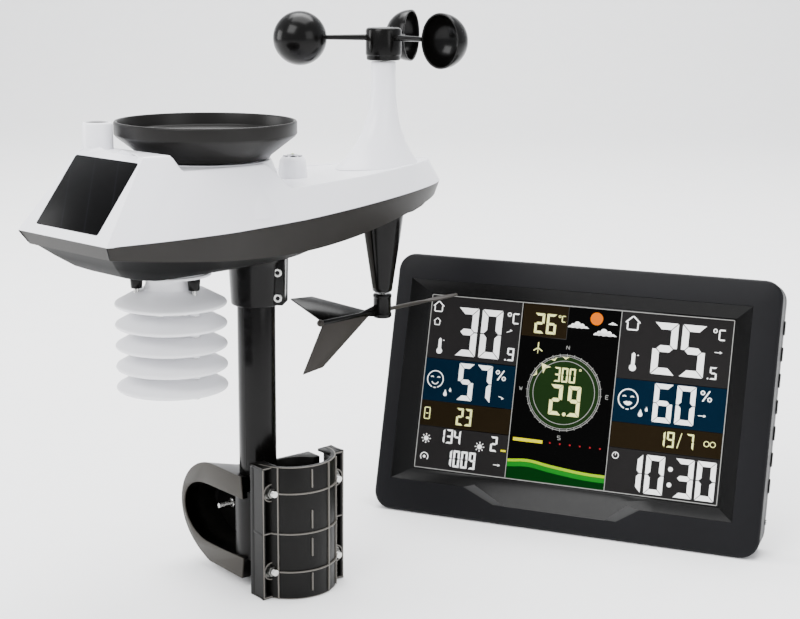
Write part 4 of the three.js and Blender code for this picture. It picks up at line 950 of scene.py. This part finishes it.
def front_frame():
    """A moulded frame: rounded outer edge, flat face, and a polished bevel down to the display."""
    left, right, low, high = (SCREEN[k] for k in ("left", "right", "low", "high"))
    corners = [(WIDTH / 2 - CORNER, CORNER, -90), (WIDTH / 2 - CORNER, HEIGHT - CORNER, 0),
               (CORNER - WIDTH / 2, HEIGHT - CORNER, 90), (CORNER - WIDTH / 2, CORNER, 180)]

    def outer(inset, y):
        """The case's outline, each corner's arc leading the side that follows it."""
        flat = np.vstack([arc(x, max(y, 0) * LEAN + 0.3 + z if z < 50 else z, CORNER - inset, a,
                              a + 90, 12)
                          for x, z, a in corners])
        return np.column_stack([flat[:, 0], np.full(48, y), flat[:, 1]])

    shell = [outer(3, FRAME_DEPTH), outer(0, FRAME_DEPTH), outer(0, 2.2)]
    for turn in np.radians([18, 36, 54, 72, 90]):
        shell.append(outer(2.2 * (1 - np.cos(turn)), 2.2 - 2.2 * np.sin(turn)))
    points, faces = grid(np.stack(shell), wrap_v=True)
    mouth = opening(*(MOUTH[k] for k in ("left", "right", "low", "high")), 0)
    edge = [tuple(p) for p in shell[-1][:, [0, 2]]]
    hole = [tuple(p) for p in mouth[:, [0, 2]]]
    face = ruled_face(edge, hole, 0.0)
    piece("console_front", [((points, faces), CASE), (face, CASE)], CONSOLE, "console",
          ["front_frame"], smooth=32)
    steps = [mouth, mouth + [0, 0.9, 0]]
    for share, y in ((0.02, 1.3), (0.35, 2.6), (0.7, 4.2), (0.97, 5.5), (1.0, 5.9)):
        ring = opening(left, right, low, high, y)
        steps.append(np.column_stack([mouth[:, 0] + (ring[:, 0] - mouth[:, 0]) * share, ring[:, 1],
                                      mouth[:, 2] + (ring[:, 2] - mouth[:, 2]) * share]))
    steps += [opening(left, right, low, high, 9),
              opening(left - 7, right + 7, low - 5, high + 7, 9)]
    # The chin's two slanted facets take the lighter finish: a painted highlight.
    facets = [grid(np.array([[[top, 0.88, 25.5], [foot, 0.88, CHIN_LOW]],
                             [[top + lean, 1.0, 28.4], [foot + lean, 0.95, CHIN_LOW + 0.3]]]))
              for top, foot, lean in ((CHIN_TOP[0], CHIN_FOOT[0], 9.0),
                                      (CHIN_TOP[1], CHIN_FOOT[1], -9.0))]
    piece("polished_bevel", [(grid(np.stack(steps), wrap_v=True), CHIN), (merge(*facets), FACET_HIGHLIGHT)],
          CONSOLE, "console",
          smooth=24)


def ruled_face(edge, hole, y):
    """A flat ring at depth y between two outlines, filled with triangles."""
    work = bmesh.new()
    loops = []
    for line in (edge, hole):
        kept = [p for i, p in enumerate(line) if np.hypot(*np.subtract(p, line[i - 1])) > 0.02]
        verts = [work.verts.new((x, y, z)) for x, z in kept]
        loops += [work.edges.new((a, b)) for a, b in zip(verts, verts[1:] + verts[:1])]
    bmesh.ops.triangle_fill(work, use_beauty=True, use_dissolve=False, edges=loops)
    work.verts.index_update()
    points = np.array([v.co[:] for v in work.verts])
    faces = [[v.index for v in f.verts] for f in work.faces]
    work.free()
    return points, faces


def back_cover():
    """A shallow tray with rounded edges, cooling slots, screw wells and the leg's lugs."""
    rings = [case_ring(0, FRAME_DEPTH + 0.4), case_ring(0, DEPTH - 4)]
    for turn in np.radians([15, 35, 55, 75, 90]):
        rings.append(case_ring(3.5 * (1 - np.cos(turn)), DEPTH - 4 + 4 * np.sin(turn)))
    rings += [case_ring(20, DEPTH), case_ring(60, DEPTH)]
    front = [case_ring(2.5, FRAME_DEPTH + 0.4)]
    tray = tube(np.stack(front + rings))
    # The cooling slots are dark strips on the back: painted shade standing for the openings.
    slots = merge(*[block(x - 1.1, x + 1.1, DEPTH - 0.2, DEPTH + 0.25, 150, 172)
                    for x in np.arange(-44, 45, 6.0)])
    spots = ((-140, 20), (140, 20), (-140, 190), (140, 190))
    well = lathe([[2.2, 0], [4.4, 0], [4.4, 0.6], [2.2, 0.6], [2.2, 0]], sides=32)
    head = lathe([[0, 0], [2.3, 0], [2.0, 0.35], [0, 0.5]], sides=24)
    wells, screws = (merge(*[along_back(part, x, z) for x, z in spots]) for part in (well, head))
    lugs = []
    for side in (-1, 1):
        line = np.vstack([[[DEPTH - 0.5, 83.6]], arc(31.8, 88, 4.2, -90, 90, 12),
                          [[DEPTH - 0.5, 92.4]]])
        lugs.append(prism(line, *sorted((side * 39.5, side * 43.5)), "x"))
    panel = block(20, 120, DEPTH - 0.1, DEPTH + 0.25, 24, 54)
    piece("console_back", [(tray, CASE), (slots, SMOKE), (wells, CASE), (screws, ZINC),
                           (merge(*lugs), CASE), (panel, CHIN)],
          CONSOLE, "console", ["back_cover"], bevel=0.15)


def along_back(part, x, z):
    """A part made about z, laid out of the case's back at x, z."""
    return laid(part, (x, DEPTH, z), (1, 0, 0), (0, 0, -1), (0, 1, 0))


def console_battery_door():
    """A lid with rounded corners and rows of grip ribs."""
    lid = prism(rounded(-129.7, -58.3, 60.3, 127.7, 2.5, 0)[:, [0, 2]], DEPTH - 2.2, DEPTH + 0.1,
                "y")
    ribs = merge(*[block(-106, -82, DEPTH - 0.1, DEPTH + 1.1, 116 + 2.2 * i, 117 + 2.2 * i)
                   for i in range(4)])
    piece("console_battery_lid", [(lid, CASE), (ribs, CASE)], CONSOLE, "console_battery_door",
          ["console_battery_door"], bevel=0.25)


def stand_leg():
    """A tapering ring of plate with a knuckle at its head and a foot laid flat on the table."""
    reach, half = 85.0, 38.0
    foot = np.array([reach, reach * LEAN])
    head = HINGE[1:]
    length = np.hypot(*(foot - head))
    down = (foot - head) / length
    out = np.array([down[1], -down[0]]) * -1

    def plate(x, along, side):
        spot = head + down * along + out * side
        return [x, spot[0], spot[1]]

    outer = [(-half, -1.5), (half, -1.5), (half - 12, length - 4.4), (half - 16, length - 1.6),
             (16 - half, length - 1.6), (12 - half, length - 4.4)]
    inner = [(-20, 16), (20, 16), (14, length - 16), (11, length - 14), (-11, length - 14),
             (-14, length - 16)]
    rings = [[plate(x, a, s) for x, a in line] for line, s in
             ((outer, -1.8), (outer, 1.8), (inner, 1.8), (inner, -1.8))]
    ring = grid(np.array(rings), wrap_u=True, wrap_v=True)
    knuckle = prism(circle(head[0], head[1], 3.2, 32), -half, half, "x")
    pin = prism(circle(head[0], head[1], 2.1, 24), -half - 3.8, half + 3.8, "x")
    pad = merge(*[block(x - 5, x + 5, reach - 3.4, reach - 1.2, reach * LEAN + 0.4,
                        reach * LEAN + 3)
                  for x in (-14, 14)])
    piece("prop_leg", [(ring, CASE), (knuckle, CASE), (pin, CASE), (pad, SMOKE)], CONSOLE,
          "stand_leg", ["stand_leg"], bevel=0.4)


def side_controls():
    """Seven oblong keys with domed tops, and the slide switch with ridges on its thumb pad."""
    for index in range(7):
        z = 55 + 19.8 * (6 - index)
        t = np.linspace(0, np.pi / 2, 6)
        loops = [(0.0, WIDTH / 2 - 5)] + list(zip(0.7 * (1 - np.cos(t)),
                                                  WIDTH / 2 + 0.5 + 0.7 * np.sin(t)))
        rings = []
        for inset, x in loops:
            r = 2.2 - inset
            ends = np.vstack([arc(20.5, z + 3.3, r, 0, 180, 14),
                              arc(20.5, z - 3.3, r, 180, 360, 14)])
            rings.append(np.column_stack([np.full(28, x), ends]))
        name = f"side_button_{index + 1}"
        piece(name + "_key", [(tube(np.array(rings)), BLACK)], CONSOLE, name,
              [name],
              smooth=50)
    body = block(146, 153.4, 18.9, 22.1, 26, 30)
    ridges = merge(*[block(153.3, 154.1, 19.1, 21.9, z, z + 0.7) for z in (26.4, 27.7, 29.0)])
    base = block(146, 149.6, 18.9, 22.1, 24.4, 32)
    piece("slide_switch_knob", [(body, BLACK), (ridges, BLACK), (base, BLACK)], CONSOLE,
          "backlight_switch", ["backlight_switch"], bevel=0.2)


# ---------------------------------------------------------------- the display's picture
# Positions below are millimetres across (x) and up (z) on the console's face.
LCD = (-123.4, 118.4, 36.4, 175.4)
SPLIT_LEFT, SPLIT_RIGHT = -47.3, 32.3
SEGMENTS = {"0": "abcdef", "1": "bc", "2": "abged", "3": "abgcd", "4": "fgbc", "5": "afgcd",
            "6": "afgedc", "7": "abc", "8": "abcdefg", "9": "abcdfg"}


def zone(x0, x1, z0, z1, inset=0.3):
    """A rectangle, a hairline inside its bounds."""
    x0, x1, z0, z1 = x0 + inset, x1 - inset, z0 + inset, z1 - inset
    return np.array([[x0, z0], [x1, z0], [x1, z1], [x0, z1]])


def stroke(a, b, width):
    """A straight bar with pointed ends from a to b."""
    a, b = np.array(a, float), np.array(b, float)
    run = (b - a) / np.hypot(*(b - a))
    side = np.array([-run[1], run[0]]) * width / 2
    tip = run * width / 2
    return np.array([a, a + tip + side, b - tip + side, b, b - tip - side, a + tip - side])


def path(points, width):
    """Strokes along a line of points."""
    return [stroke(a, b, width) for a, b in zip(points, points[1:])]


def digit(sign, x, z, height, width, bold):
    """One seven-segment figure: mitred bars with hairline gaps round an upright box."""
    t, g, h, w = bold * height, 0.012 * height, height, width
    top = np.array([[g, h], [w - g, h], [w - t - g, h - t], [t + g, h - t]])
    upper = np.array([[0, h - g], [t, h - t - g], [t, h / 2 + t / 2 + g], [t / 2, h / 2 + g],
                      [0, h / 2 + g]])
    middle = np.array([[t / 2 + g, h / 2], [t + g, h / 2 + t / 2], [w - t - g, h / 2 + t / 2],
                       [w - t / 2 - g, h / 2], [w - t - g, h / 2 - t / 2], [t + g, h / 2 - t / 2]])
    flip, mirror = [1, -1], [-1, 1]
    bars = {"a": top, "d": top * flip + [0, h], "f": upper, "e": upper * flip + [0, h],
            "b": upper * mirror + [w, 0], "c": upper * [-1, -1] + [w, h], "g": middle}
    return [bars[key] + [x, z] for key in SEGMENTS[sign]]


def digits(text, x, z, height, width, advance, bold=0.13):
    """A row of figures; a colon or a stop takes a third of a place."""
    bars = []
    for sign in text:
        if sign in ".:":
            spots = [0.05] if sign == "." else [0.3, 0.7]
            bars += [circle(x + 0.08 * height, z + s * height, 0.06 * height, 16) for s in spots]
            x += 0.34 * advance
        elif sign == "1":
            bars += digit(sign, x - 0.35 * width, z, height, width, bold)
            x += 0.72 * advance
        else:
            bars += digit(sign, x, z, height, width, bold)
            x += advance
    return bars


def band(x, z, radius, thick, first=0, last=360, count=40):
    """A ring about a point, or part of one."""
    if last - first >= 360:
        half = (first + last) / 2
        return band(x, z, radius, thick, first, half - 0.01, count) + \
            band(x, z, radius, thick, half, last - 0.01, count)
    return [np.vstack([arc(x, z, radius, first, last, count),
                       arc(x, z, radius - thick, last, first, count)])]


def thermometer(x, z, size):
    """A bulb with a stem above it and a short tick beside the stem."""
    return [circle(x, z - 0.32 * size, 0.2 * size, 20)] + \
        path([(x, z - 0.25 * size), (x, z + 0.55 * size)], 0.2 * size) + \
        path([(x + 0.2 * size, z + 0.4 * size), (x + 0.3 * size, z + 0.4 * size)], 0.06 * size)


def house(x, z, size):
    """Roof and walls in thin line."""
    bars = path([(x - 0.6 * size, z + 0.05 * size), (x, z + 0.6 * size),
                 (x + 0.6 * size, z + 0.05 * size)],
                0.11 * size)
    bars += path([(x - 0.42 * size, z + 0.12 * size), (x - 0.42 * size, z - 0.5 * size),
                  (x + 0.42 * size, z - 0.5 * size), (x + 0.42 * size, z + 0.12 * size)],
                 0.11 * size)
    return bars


def smiley(x, z, radius, gape):
    """A broken ring with two eyes and a mouth, open where gape is set."""
    parts = band(x, z, radius, 0.1 * radius, -70, 250)
    parts += band(x, z - 0.02 * radius, 1.0 * radius, 0.1 * radius, 262, 278, 6)
    for side in (-1, 1):
        parts += band(x + side * 0.38 * radius, z + 0.15 * radius, 0.2 * radius, 0.1 * radius, 20,
                      160, 10)
    mouth = arc(x, z - 0.15 * radius, 0.45 * radius, 200, 340, 14)
    inner = arc(x, z - 0.15 * radius, (0.1 if gape else 0.35) * radius, 340, 200, 14)
    return parts + [np.vstack([mouth, inner])]


def drop(x, z, size):
    """A round drop with a point."""
    return [np.vstack([arc(x, z, 0.4 * size, 150, 390, 18), [[x, z + size]]])]


def sun(x, z, radius, rays):
    """A disc, with short rays round it where there are any."""
    parts = [circle(x, z, radius, 36)]
    for turn in np.arange(rays) * TAU / max(rays, 1):
        out = np.array([np.cos(turn), np.sin(turn)])
        parts.append(stroke([x, z] + out * radius * 1.35, [x, z] + out * radius * 2.1,
                            0.35 * radius))
    return parts


def cloud(x, z, size):
    """Three discs on a flat base."""
    spots = ((-0.5, 0.0, 0.2), (-0.1, 0.1, 0.3), (0.35, 0.02, 0.22))
    parts = [circle(x + a * size, z + b * size, r * size, 24) for a, b, r in spots]
    base = np.array([[-1.0, -0.16], [1.0, -0.16], [0.75, 0.02], [-0.8, 0.02]])
    return parts + [base * size + [x, z]]


def degree(x, z, size):
    """A degree ring and a C beside it, x at the ring's left and z at the sign's foot."""
    ring = band(x + 0.2 * size, z + 0.85 * size, 0.2 * size, 0.09 * size)
    wide = path([(x + 1.15 * size, z + 0.95 * size), (x + 0.6 * size, z + 0.95 * size),
                 (x + 0.6 * size, z + 0.05 * size), (x + 1.15 * size, z + 0.05 * size)],
                0.13 * size)
    return ring + wide


def percent(x, z, size):
    """Two rings and a slash about a centre."""
    slash = [stroke([x - 0.3 * size, z - 0.5 * size], [x + 0.3 * size, z + 0.5 * size],
                    0.12 * size)]
    return slash + band(x - 0.32 * size, z + 0.28 * size, 0.2 * size, 0.09 * size) + \
        band(x + 0.32 * size, z - 0.28 * size, 0.2 * size, 0.09 * size)


def arrow(x, z, size, rise=0.0):
    """A thin line with a head at its right end."""
    end = np.array([x + size, z + rise])
    return path([(x, z), tuple(end)], 0.5) + \
        [np.array([end + [0.3, 0], end + [-1.6, 1.0], end + [-1.6, -1.0]])]


def compass():
    """A dial: dark green disc, rings, ticks, the pointer and the four quarter marks."""
    x, z, radius = -7.3, 107.8, 29.6
    rings = band(x, z, radius, 0.45, count=72) + band(x, z, radius * 0.955, 0.35, count=72) + \
        band(x, z, radius * 0.84, 0.45, count=72)
    ticks = []
    for turn in np.radians(np.arange(0, 360, 11.25)):
        out = np.array([np.cos(turn), np.sin(turn)])
        ticks.append(stroke([x, z] + out * radius * 0.955, [x, z] + out * radius * 1.03, 0.35))
    strokes = {"N": ((0, 0), (0, 1), (1, 0), (1, 1)), "E": ((1, 0), (0, 0), (0, 1), (1, 1)),
               "S": ((0, 0), (1, 0), (1, 0.5), (0, 0.5), (0, 1), (1, 1)),
               "W": ((0, 1), (0.25, 0), (0.5, 0.7), (0.75, 0), (1, 1))}
    marks = []
    for (name, line), turn in zip(strokes.items(), np.radians([90, 0, 270, 180])):
        corner = np.array([x + np.cos(turn) * radius * 1.17 - 1.2,
                           z + np.sin(turn) * radius * 1.19 - 1.4])
        marks += path([corner + np.array(p) * [2.3, 2.9] for p in line], 0.4)
        if name == "E":
            marks.append(stroke(corner + [0, 1.45], corner + [1.8, 1.45], 0.4))
    out = np.array([np.cos(np.radians(133)), np.sin(np.radians(133))])
    side = np.array([-out[1], out[0]])
    tip = np.array([x, z]) + out * radius * 0.99
    pointer = [np.array([tip, tip - out * 7.2 + side * 4.0, tip - out * 5.2,
                         tip - out * 7.2 - side * 4.0])]
    for turn in (92, 112, 152):
        out = np.array([np.cos(np.radians(turn)), np.sin(np.radians(turn))])
        side = np.array([-out[1], out[0]])
        spot = np.array([x, z]) + out * radius * 0.93
        pointer.append(np.array([spot + side * 3.4 + out * 0.8, spot - out * 1.6,
                                 spot - side * 3.4 + out * 0.8,
                                 spot - out * 0.2]))
    return [circle(x, z, radius * 0.95, 96)], rings + ticks + marks, pointer


def hills(depth, lift=0.0):
    """A rolling strip along the foot of the middle column."""
    x = np.linspace(SPLIT_LEFT + 0.5, SPLIT_RIGHT - 0.5, 40)
    share = (x - x[0]) / (x[-1] - x[0])
    top = 51.5 - 3.4 * smooth(0.25, 0.9, share) + 1.8 * np.exp(-((share - 0.2) / 0.16) ** 2) + lift
    low = np.maximum(top - depth, LCD[2] + 0.4)
    return [np.vstack([np.column_stack([x, top]), np.column_stack([x, low])[::-1]])]


def display():
    """Colour zones printed on the panel, with figures and signs a hair in front of them."""
    glass = block(SCREEN["left"] - 1.0, SCREEN["right"] + 1.0, SCREEN["recess"],
                  SCREEN["recess"] + 2.3, SCREEN["low"] - 1.0, SCREEN["high"] + 1.0)
    piece("display_glass_plate", [(glass, GLASS)], CONSOLE, "console",
          ["display_panel"], bevel=0.2)
    x0, x1, z0, z1 = LCD
    a, b = SPLIT_LEFT, SPLIT_RIGHT
    disc, dial_lines, pointer = compass()
    zones = [
        ([zone(x0, a, 124.6, z1), zone(x0, a, z0, 70), zone(b, x1, 123.8, z1),
          zone(b, x1, z0, 70.6)],
         "zone_grey"),
        ([zone(x0, a, 90.3, 124.6), zone(b, x1, 90.2, 123.8)], "zone_blue"),
        ([zone(x0, a, 70, 90.3), zone(b, x1, 70.6, 90.2), zone(-46.6, -9.6, 149.2, z1)],
         "zone_brown"),
        ([zone(a, b, z0, 149.2, 0), zone(-9.6, b, 149.2, z1, 0)], "zone_black"),
        (disc, "zone_dial"), (hills(20), "segment_pine"), (hills(6), "segment_green"),
        (hills(2.2), "segment_lime"),
    ]
    frame_lines = path([(x0, z0), (x1, z0), (x1, z1), (x0, z1), (x0, z0)], 0.6) + \
        path([(a, z0), (a, z1)], 0.5) + path([(b, z0), (b, z1)], 0.5)
    white = digits("30", -99.8, 128.4, 38.6, 17.0, 20.0) + digits(".9", -58.2, 128.2, 10.2, 5.6,
                                                                  6.0, 0.12) + \
        degree(-59, 157.6, 8.4) + house(-117.2, 166, 7.5) + house(-117.2, 154, 5.0) + \
        thermometer(-113, 134.6, 12) + arrow(-58.5, 150.5, 4.5, 1.6)
    white += smiley(-113.6, 107.8, 7.0, False) + drop(-104.2, 96.6, 3.8) + drop(-100.2, 99.8,
                                                                                2.4) + \
        digits("57", -94.4, 93.2, 29.4, 12.8, 15.0) + percent(-59.4, 116, 8.4) + arrow(-59.5, 99.5,
                                                                                       4.2, -1.4)
    white += sun(-116, 60, 1.9, 8) + digits("134", -104.2, 57.8, 11.2, 5.6, 6.6, 0.12) + \
        sun(-70.7, 58.2, 1.9, 8) + digits("2", -62, 55.8, 11.8, 5.6, 7, 0.12) + \
        band(-116, 45.4, 3.4, 0.6, -40, 220) + [circle(-116, 45.4, 1.1, 16)] + \
        digits("1009", -96.4, 39.6, 13.4, 5.4, 6.6, 0.12) + arrow(-58, 45.6, 5.4)
    white += digits("25", 58.6, 129.6, 39.6, 18.4, 21.6) + digits(".5", 101.6, 129.6, 9.4, 5.2, 6,
                                                                  0.12) + \
        degree(103.2, 159.4, 8.2) + house(41.6, 166.4, 9.6) + thermometer(44.6, 137, 13.5) + \
        arrow(105.6, 150.2, 5.6)
    white += smiley(43.8, 108.4, 8.0, True) + drop(54.2, 97.6, 4.2) + drop(58.6, 101.4, 2.6) + \
        digits("60", 63.4, 93.2, 29.4, 14.4, 17.2) + percent(102.8, 116.6, 8.6) + arrow(97.8,
                                                                                        101.6, 6)
    white += digits("10:30", 50.6, 38.4, 29.4, 14.2, 16.6) + band(38.4, 64.6, 2.6, 0.5) + \
        path([(38.4, 64.6), (38.4, 66.4)], 0.4)
    white += cloud(-1.0, 160.6, 8.6) + cloud(20.6, 156.4, 9.4) + cloud(26.2, 164.4, 3.6)
    cream = digits("26", -36.2, 152.2, 15.8, 7.8, 9.6, 0.12) + degree(-17.4, 162.4, 5) + \
        digits("23", -92.6, 73.2, 13.6, 5.8, 7.0, 0.12)
    cream += digits("19", 71.4, 75.2, 11.8, 5.6, 7.0, 0.11) + path([(84.6, 75.2), (87.4, 87)],
                                                                   0.6) + \
        digits("7", 91.2, 75.2, 11.8, 5.6, 7, 0.11) + band(106.5, 81, 2.2, 0.5) + band(111.2, 81,
                                                                                       2.2, 0.5)
    cream += digits("300", -16.4, 115.8, 11.4, 5.0, 6.1, 0.11) + digits("2.9", -18.0, 90.0, 23.6,
                                                                        10.0, 10.8, 0.12)
    cream += band(4.2, 126.4, 0.9, 0.35)
    mill = path([(-31.4, 140.8), (-31.4, 145.2)], 0.7) + path([(-31.4, 140.8), (-35, 138.4)],
                                                              0.7) + \
        path([(-31.4, 140.8), (-27.8, 138.4)], 0.7) + path([(-31.4, 140.8), (-31.4, 136.4)], 0.4)
    gauge = path([(-119.6, 84.6), (-119.6, 75.6), (-115.2, 75.6), (-115.2, 84.6), (-119.6, 84.6)],
                 0.7) + \
        path([(-118.6, 80), (-116.2, 80)], 0.8)
    figures = [
        (white, "segment_white"), (cream + mill + gauge + pointer, "segment_cream"),
        (dial_lines, "line_grey"),
        (sun(13, 167.4, 5.0, 0), "segment_orange"), (frame_lines, "line_grey"),
        ([zone(-44, -20, 66.6, 69.2, 0), zone(-53, -48.9, 56.6, 58, 0)], "segment_yellow"),
        ([circle(x, 67.9, 0.7, 12) for x in (-14, -6, 2, 10, 18, 26)], "segment_red"),
    ]
    for name, layers, near in (("display_zones", zones, 0.08), ("display_figures", figures, 0.3)):
        parts = []
        for order, (outlines, colour) in enumerate(layers):
            y = SCREEN["recess"] - near - 0.02 * order
            parts.append((merge(*[prism(line, y, SCREEN["recess"] + 0.05,
                                        "y") for line in outlines]), INK[colour]))
        piece(name, parts, CONSOLE, "console", smooth=20)


# ---------------------------------------------------------------- nodes kept from the CAD
def dress(material, *names):
    """Gives CAD nodes one finish."""
    for name in names:
        mesh = frame["nodes"][name].data
        mesh.materials.clear()
        mesh.materials.append(material)


def kept_nodes():
    """Inner pieces whose CAD shape is right."""
    dress(BLACK, "tipping_bucket", "power_jack")
    dress(ZINC, "bucket_axle", "rotor_shaft", "vane_shaft")
    dress(BRASS, "rotor_bearing", "vane_bearing")
    dress(GREY, "bucket_cradle")
    dress(SHIELD, "climate_probe")
    dress(BOARD, "sensor_board", "console_board")
    dress(SLEEVE, "battery_cell_1", "battery_cell_2", "battery_cell_3")


# ---------------------------------------------------------------- studio
def studio():
    """A pale sweep, soft lamps and the camera."""
    across = np.linspace(-6, 6, 9)
    turn = np.linspace(0, np.pi / 2, 12)
    run = np.concatenate([[-4, -1, 1], 3 + 1.5 * np.sin(turn), [4.5]])
    rise = np.concatenate([[0, 0, 0], 1.5 * (1 - np.cos(turn)), [6]])
    x, y = np.meshgrid(across, run)
    points, faces = grid(np.stack([x, y, np.tile(rise[:, None], (1, 9)) - 0.0005], -1))
    mesh = bpy.data.meshes.new("pale_sweep")
    mesh.from_pydata(points.tolist(), [], faces)
    mesh.shade_smooth()
    # Matt paper sweep: very pale, with the faintest fibre.
    mesh.materials.append(moulded("matt_paper_sweep", "#f7f7f7", "#fbfbfb", 0.9, grain=2.0))
    sweep = bpy.data.objects.new("pale_sweep", mesh)
    bpy.context.scene.collection.objects.link(sweep)

    lamps = {
        "key": ((-1.3, -1.5, 1.9), 1.4, 62, (0, 0, 0.2)),
        "fill": ((1.6, -1.6, 0.9), 1.3, 18, (0, 0, 0.2)),
        "top": ((0.1, 0.3, 2.2), 1.8, 72, (0, 0, 0)),
        "side": ((-1.9, 0.2, 0.6), 0.8, 16, (0, 0, 0.25)),
        "sweep": ((0.0, 1.6, 2.6), 2.4, 120, (0, 2.6, 0.6)),
    }
    for name, (spot, size, power, target) in lamps.items():
        light = bpy.data.lights.new(name, "AREA")
        light.shape, light.size, light.energy = "SQUARE", size, power
        lamp = bpy.data.objects.new(name, light)
        lamp.location = spot
        away = Vector(spot) - Vector(target)
        lamp.rotation_euler = away.to_track_quat("Z", "Y").to_euler()
        bpy.context.scene.collection.objects.link(lamp)

    world = bpy.data.worlds.new("pale_room")
    world.use_nodes = True
    world.node_tree.nodes["Background"].inputs["Color"].default_value = linear("#f4f6fa")
    world.node_tree.nodes["Background"].inputs["Strength"].default_value = 1.1
    bpy.context.scene.world = world

    view = bpy.data.cameras.new("view")
    view.sensor_width, view.lens = 36, 69.38
    camera = bpy.data.objects.new("view", view)
    camera.location = (-0.02785, -1.0684, 0.4179)
    camera.rotation_euler = np.radians([90 - 12.209, 0, 0])
    camera.rotation_euler.rotate_axis("Z", np.radians(0.444))
    bpy.context.scene.collection.objects.link(camera)
    bpy.context.scene.camera = camera


for build in (studio, upper_cover, cover_fittings, lower_housing, battery_door, solar_panel,
              rain_funnel, anemometer_stalk, cup_rotor, vane_turret, wind_vane, shield_plates,
              shield_spacers, mast, mounting_base, clamp_bolts, pole_clamp, front_frame,
              back_cover, console_battery_door, stand_leg, side_controls, display, kept_nodes):
    build()
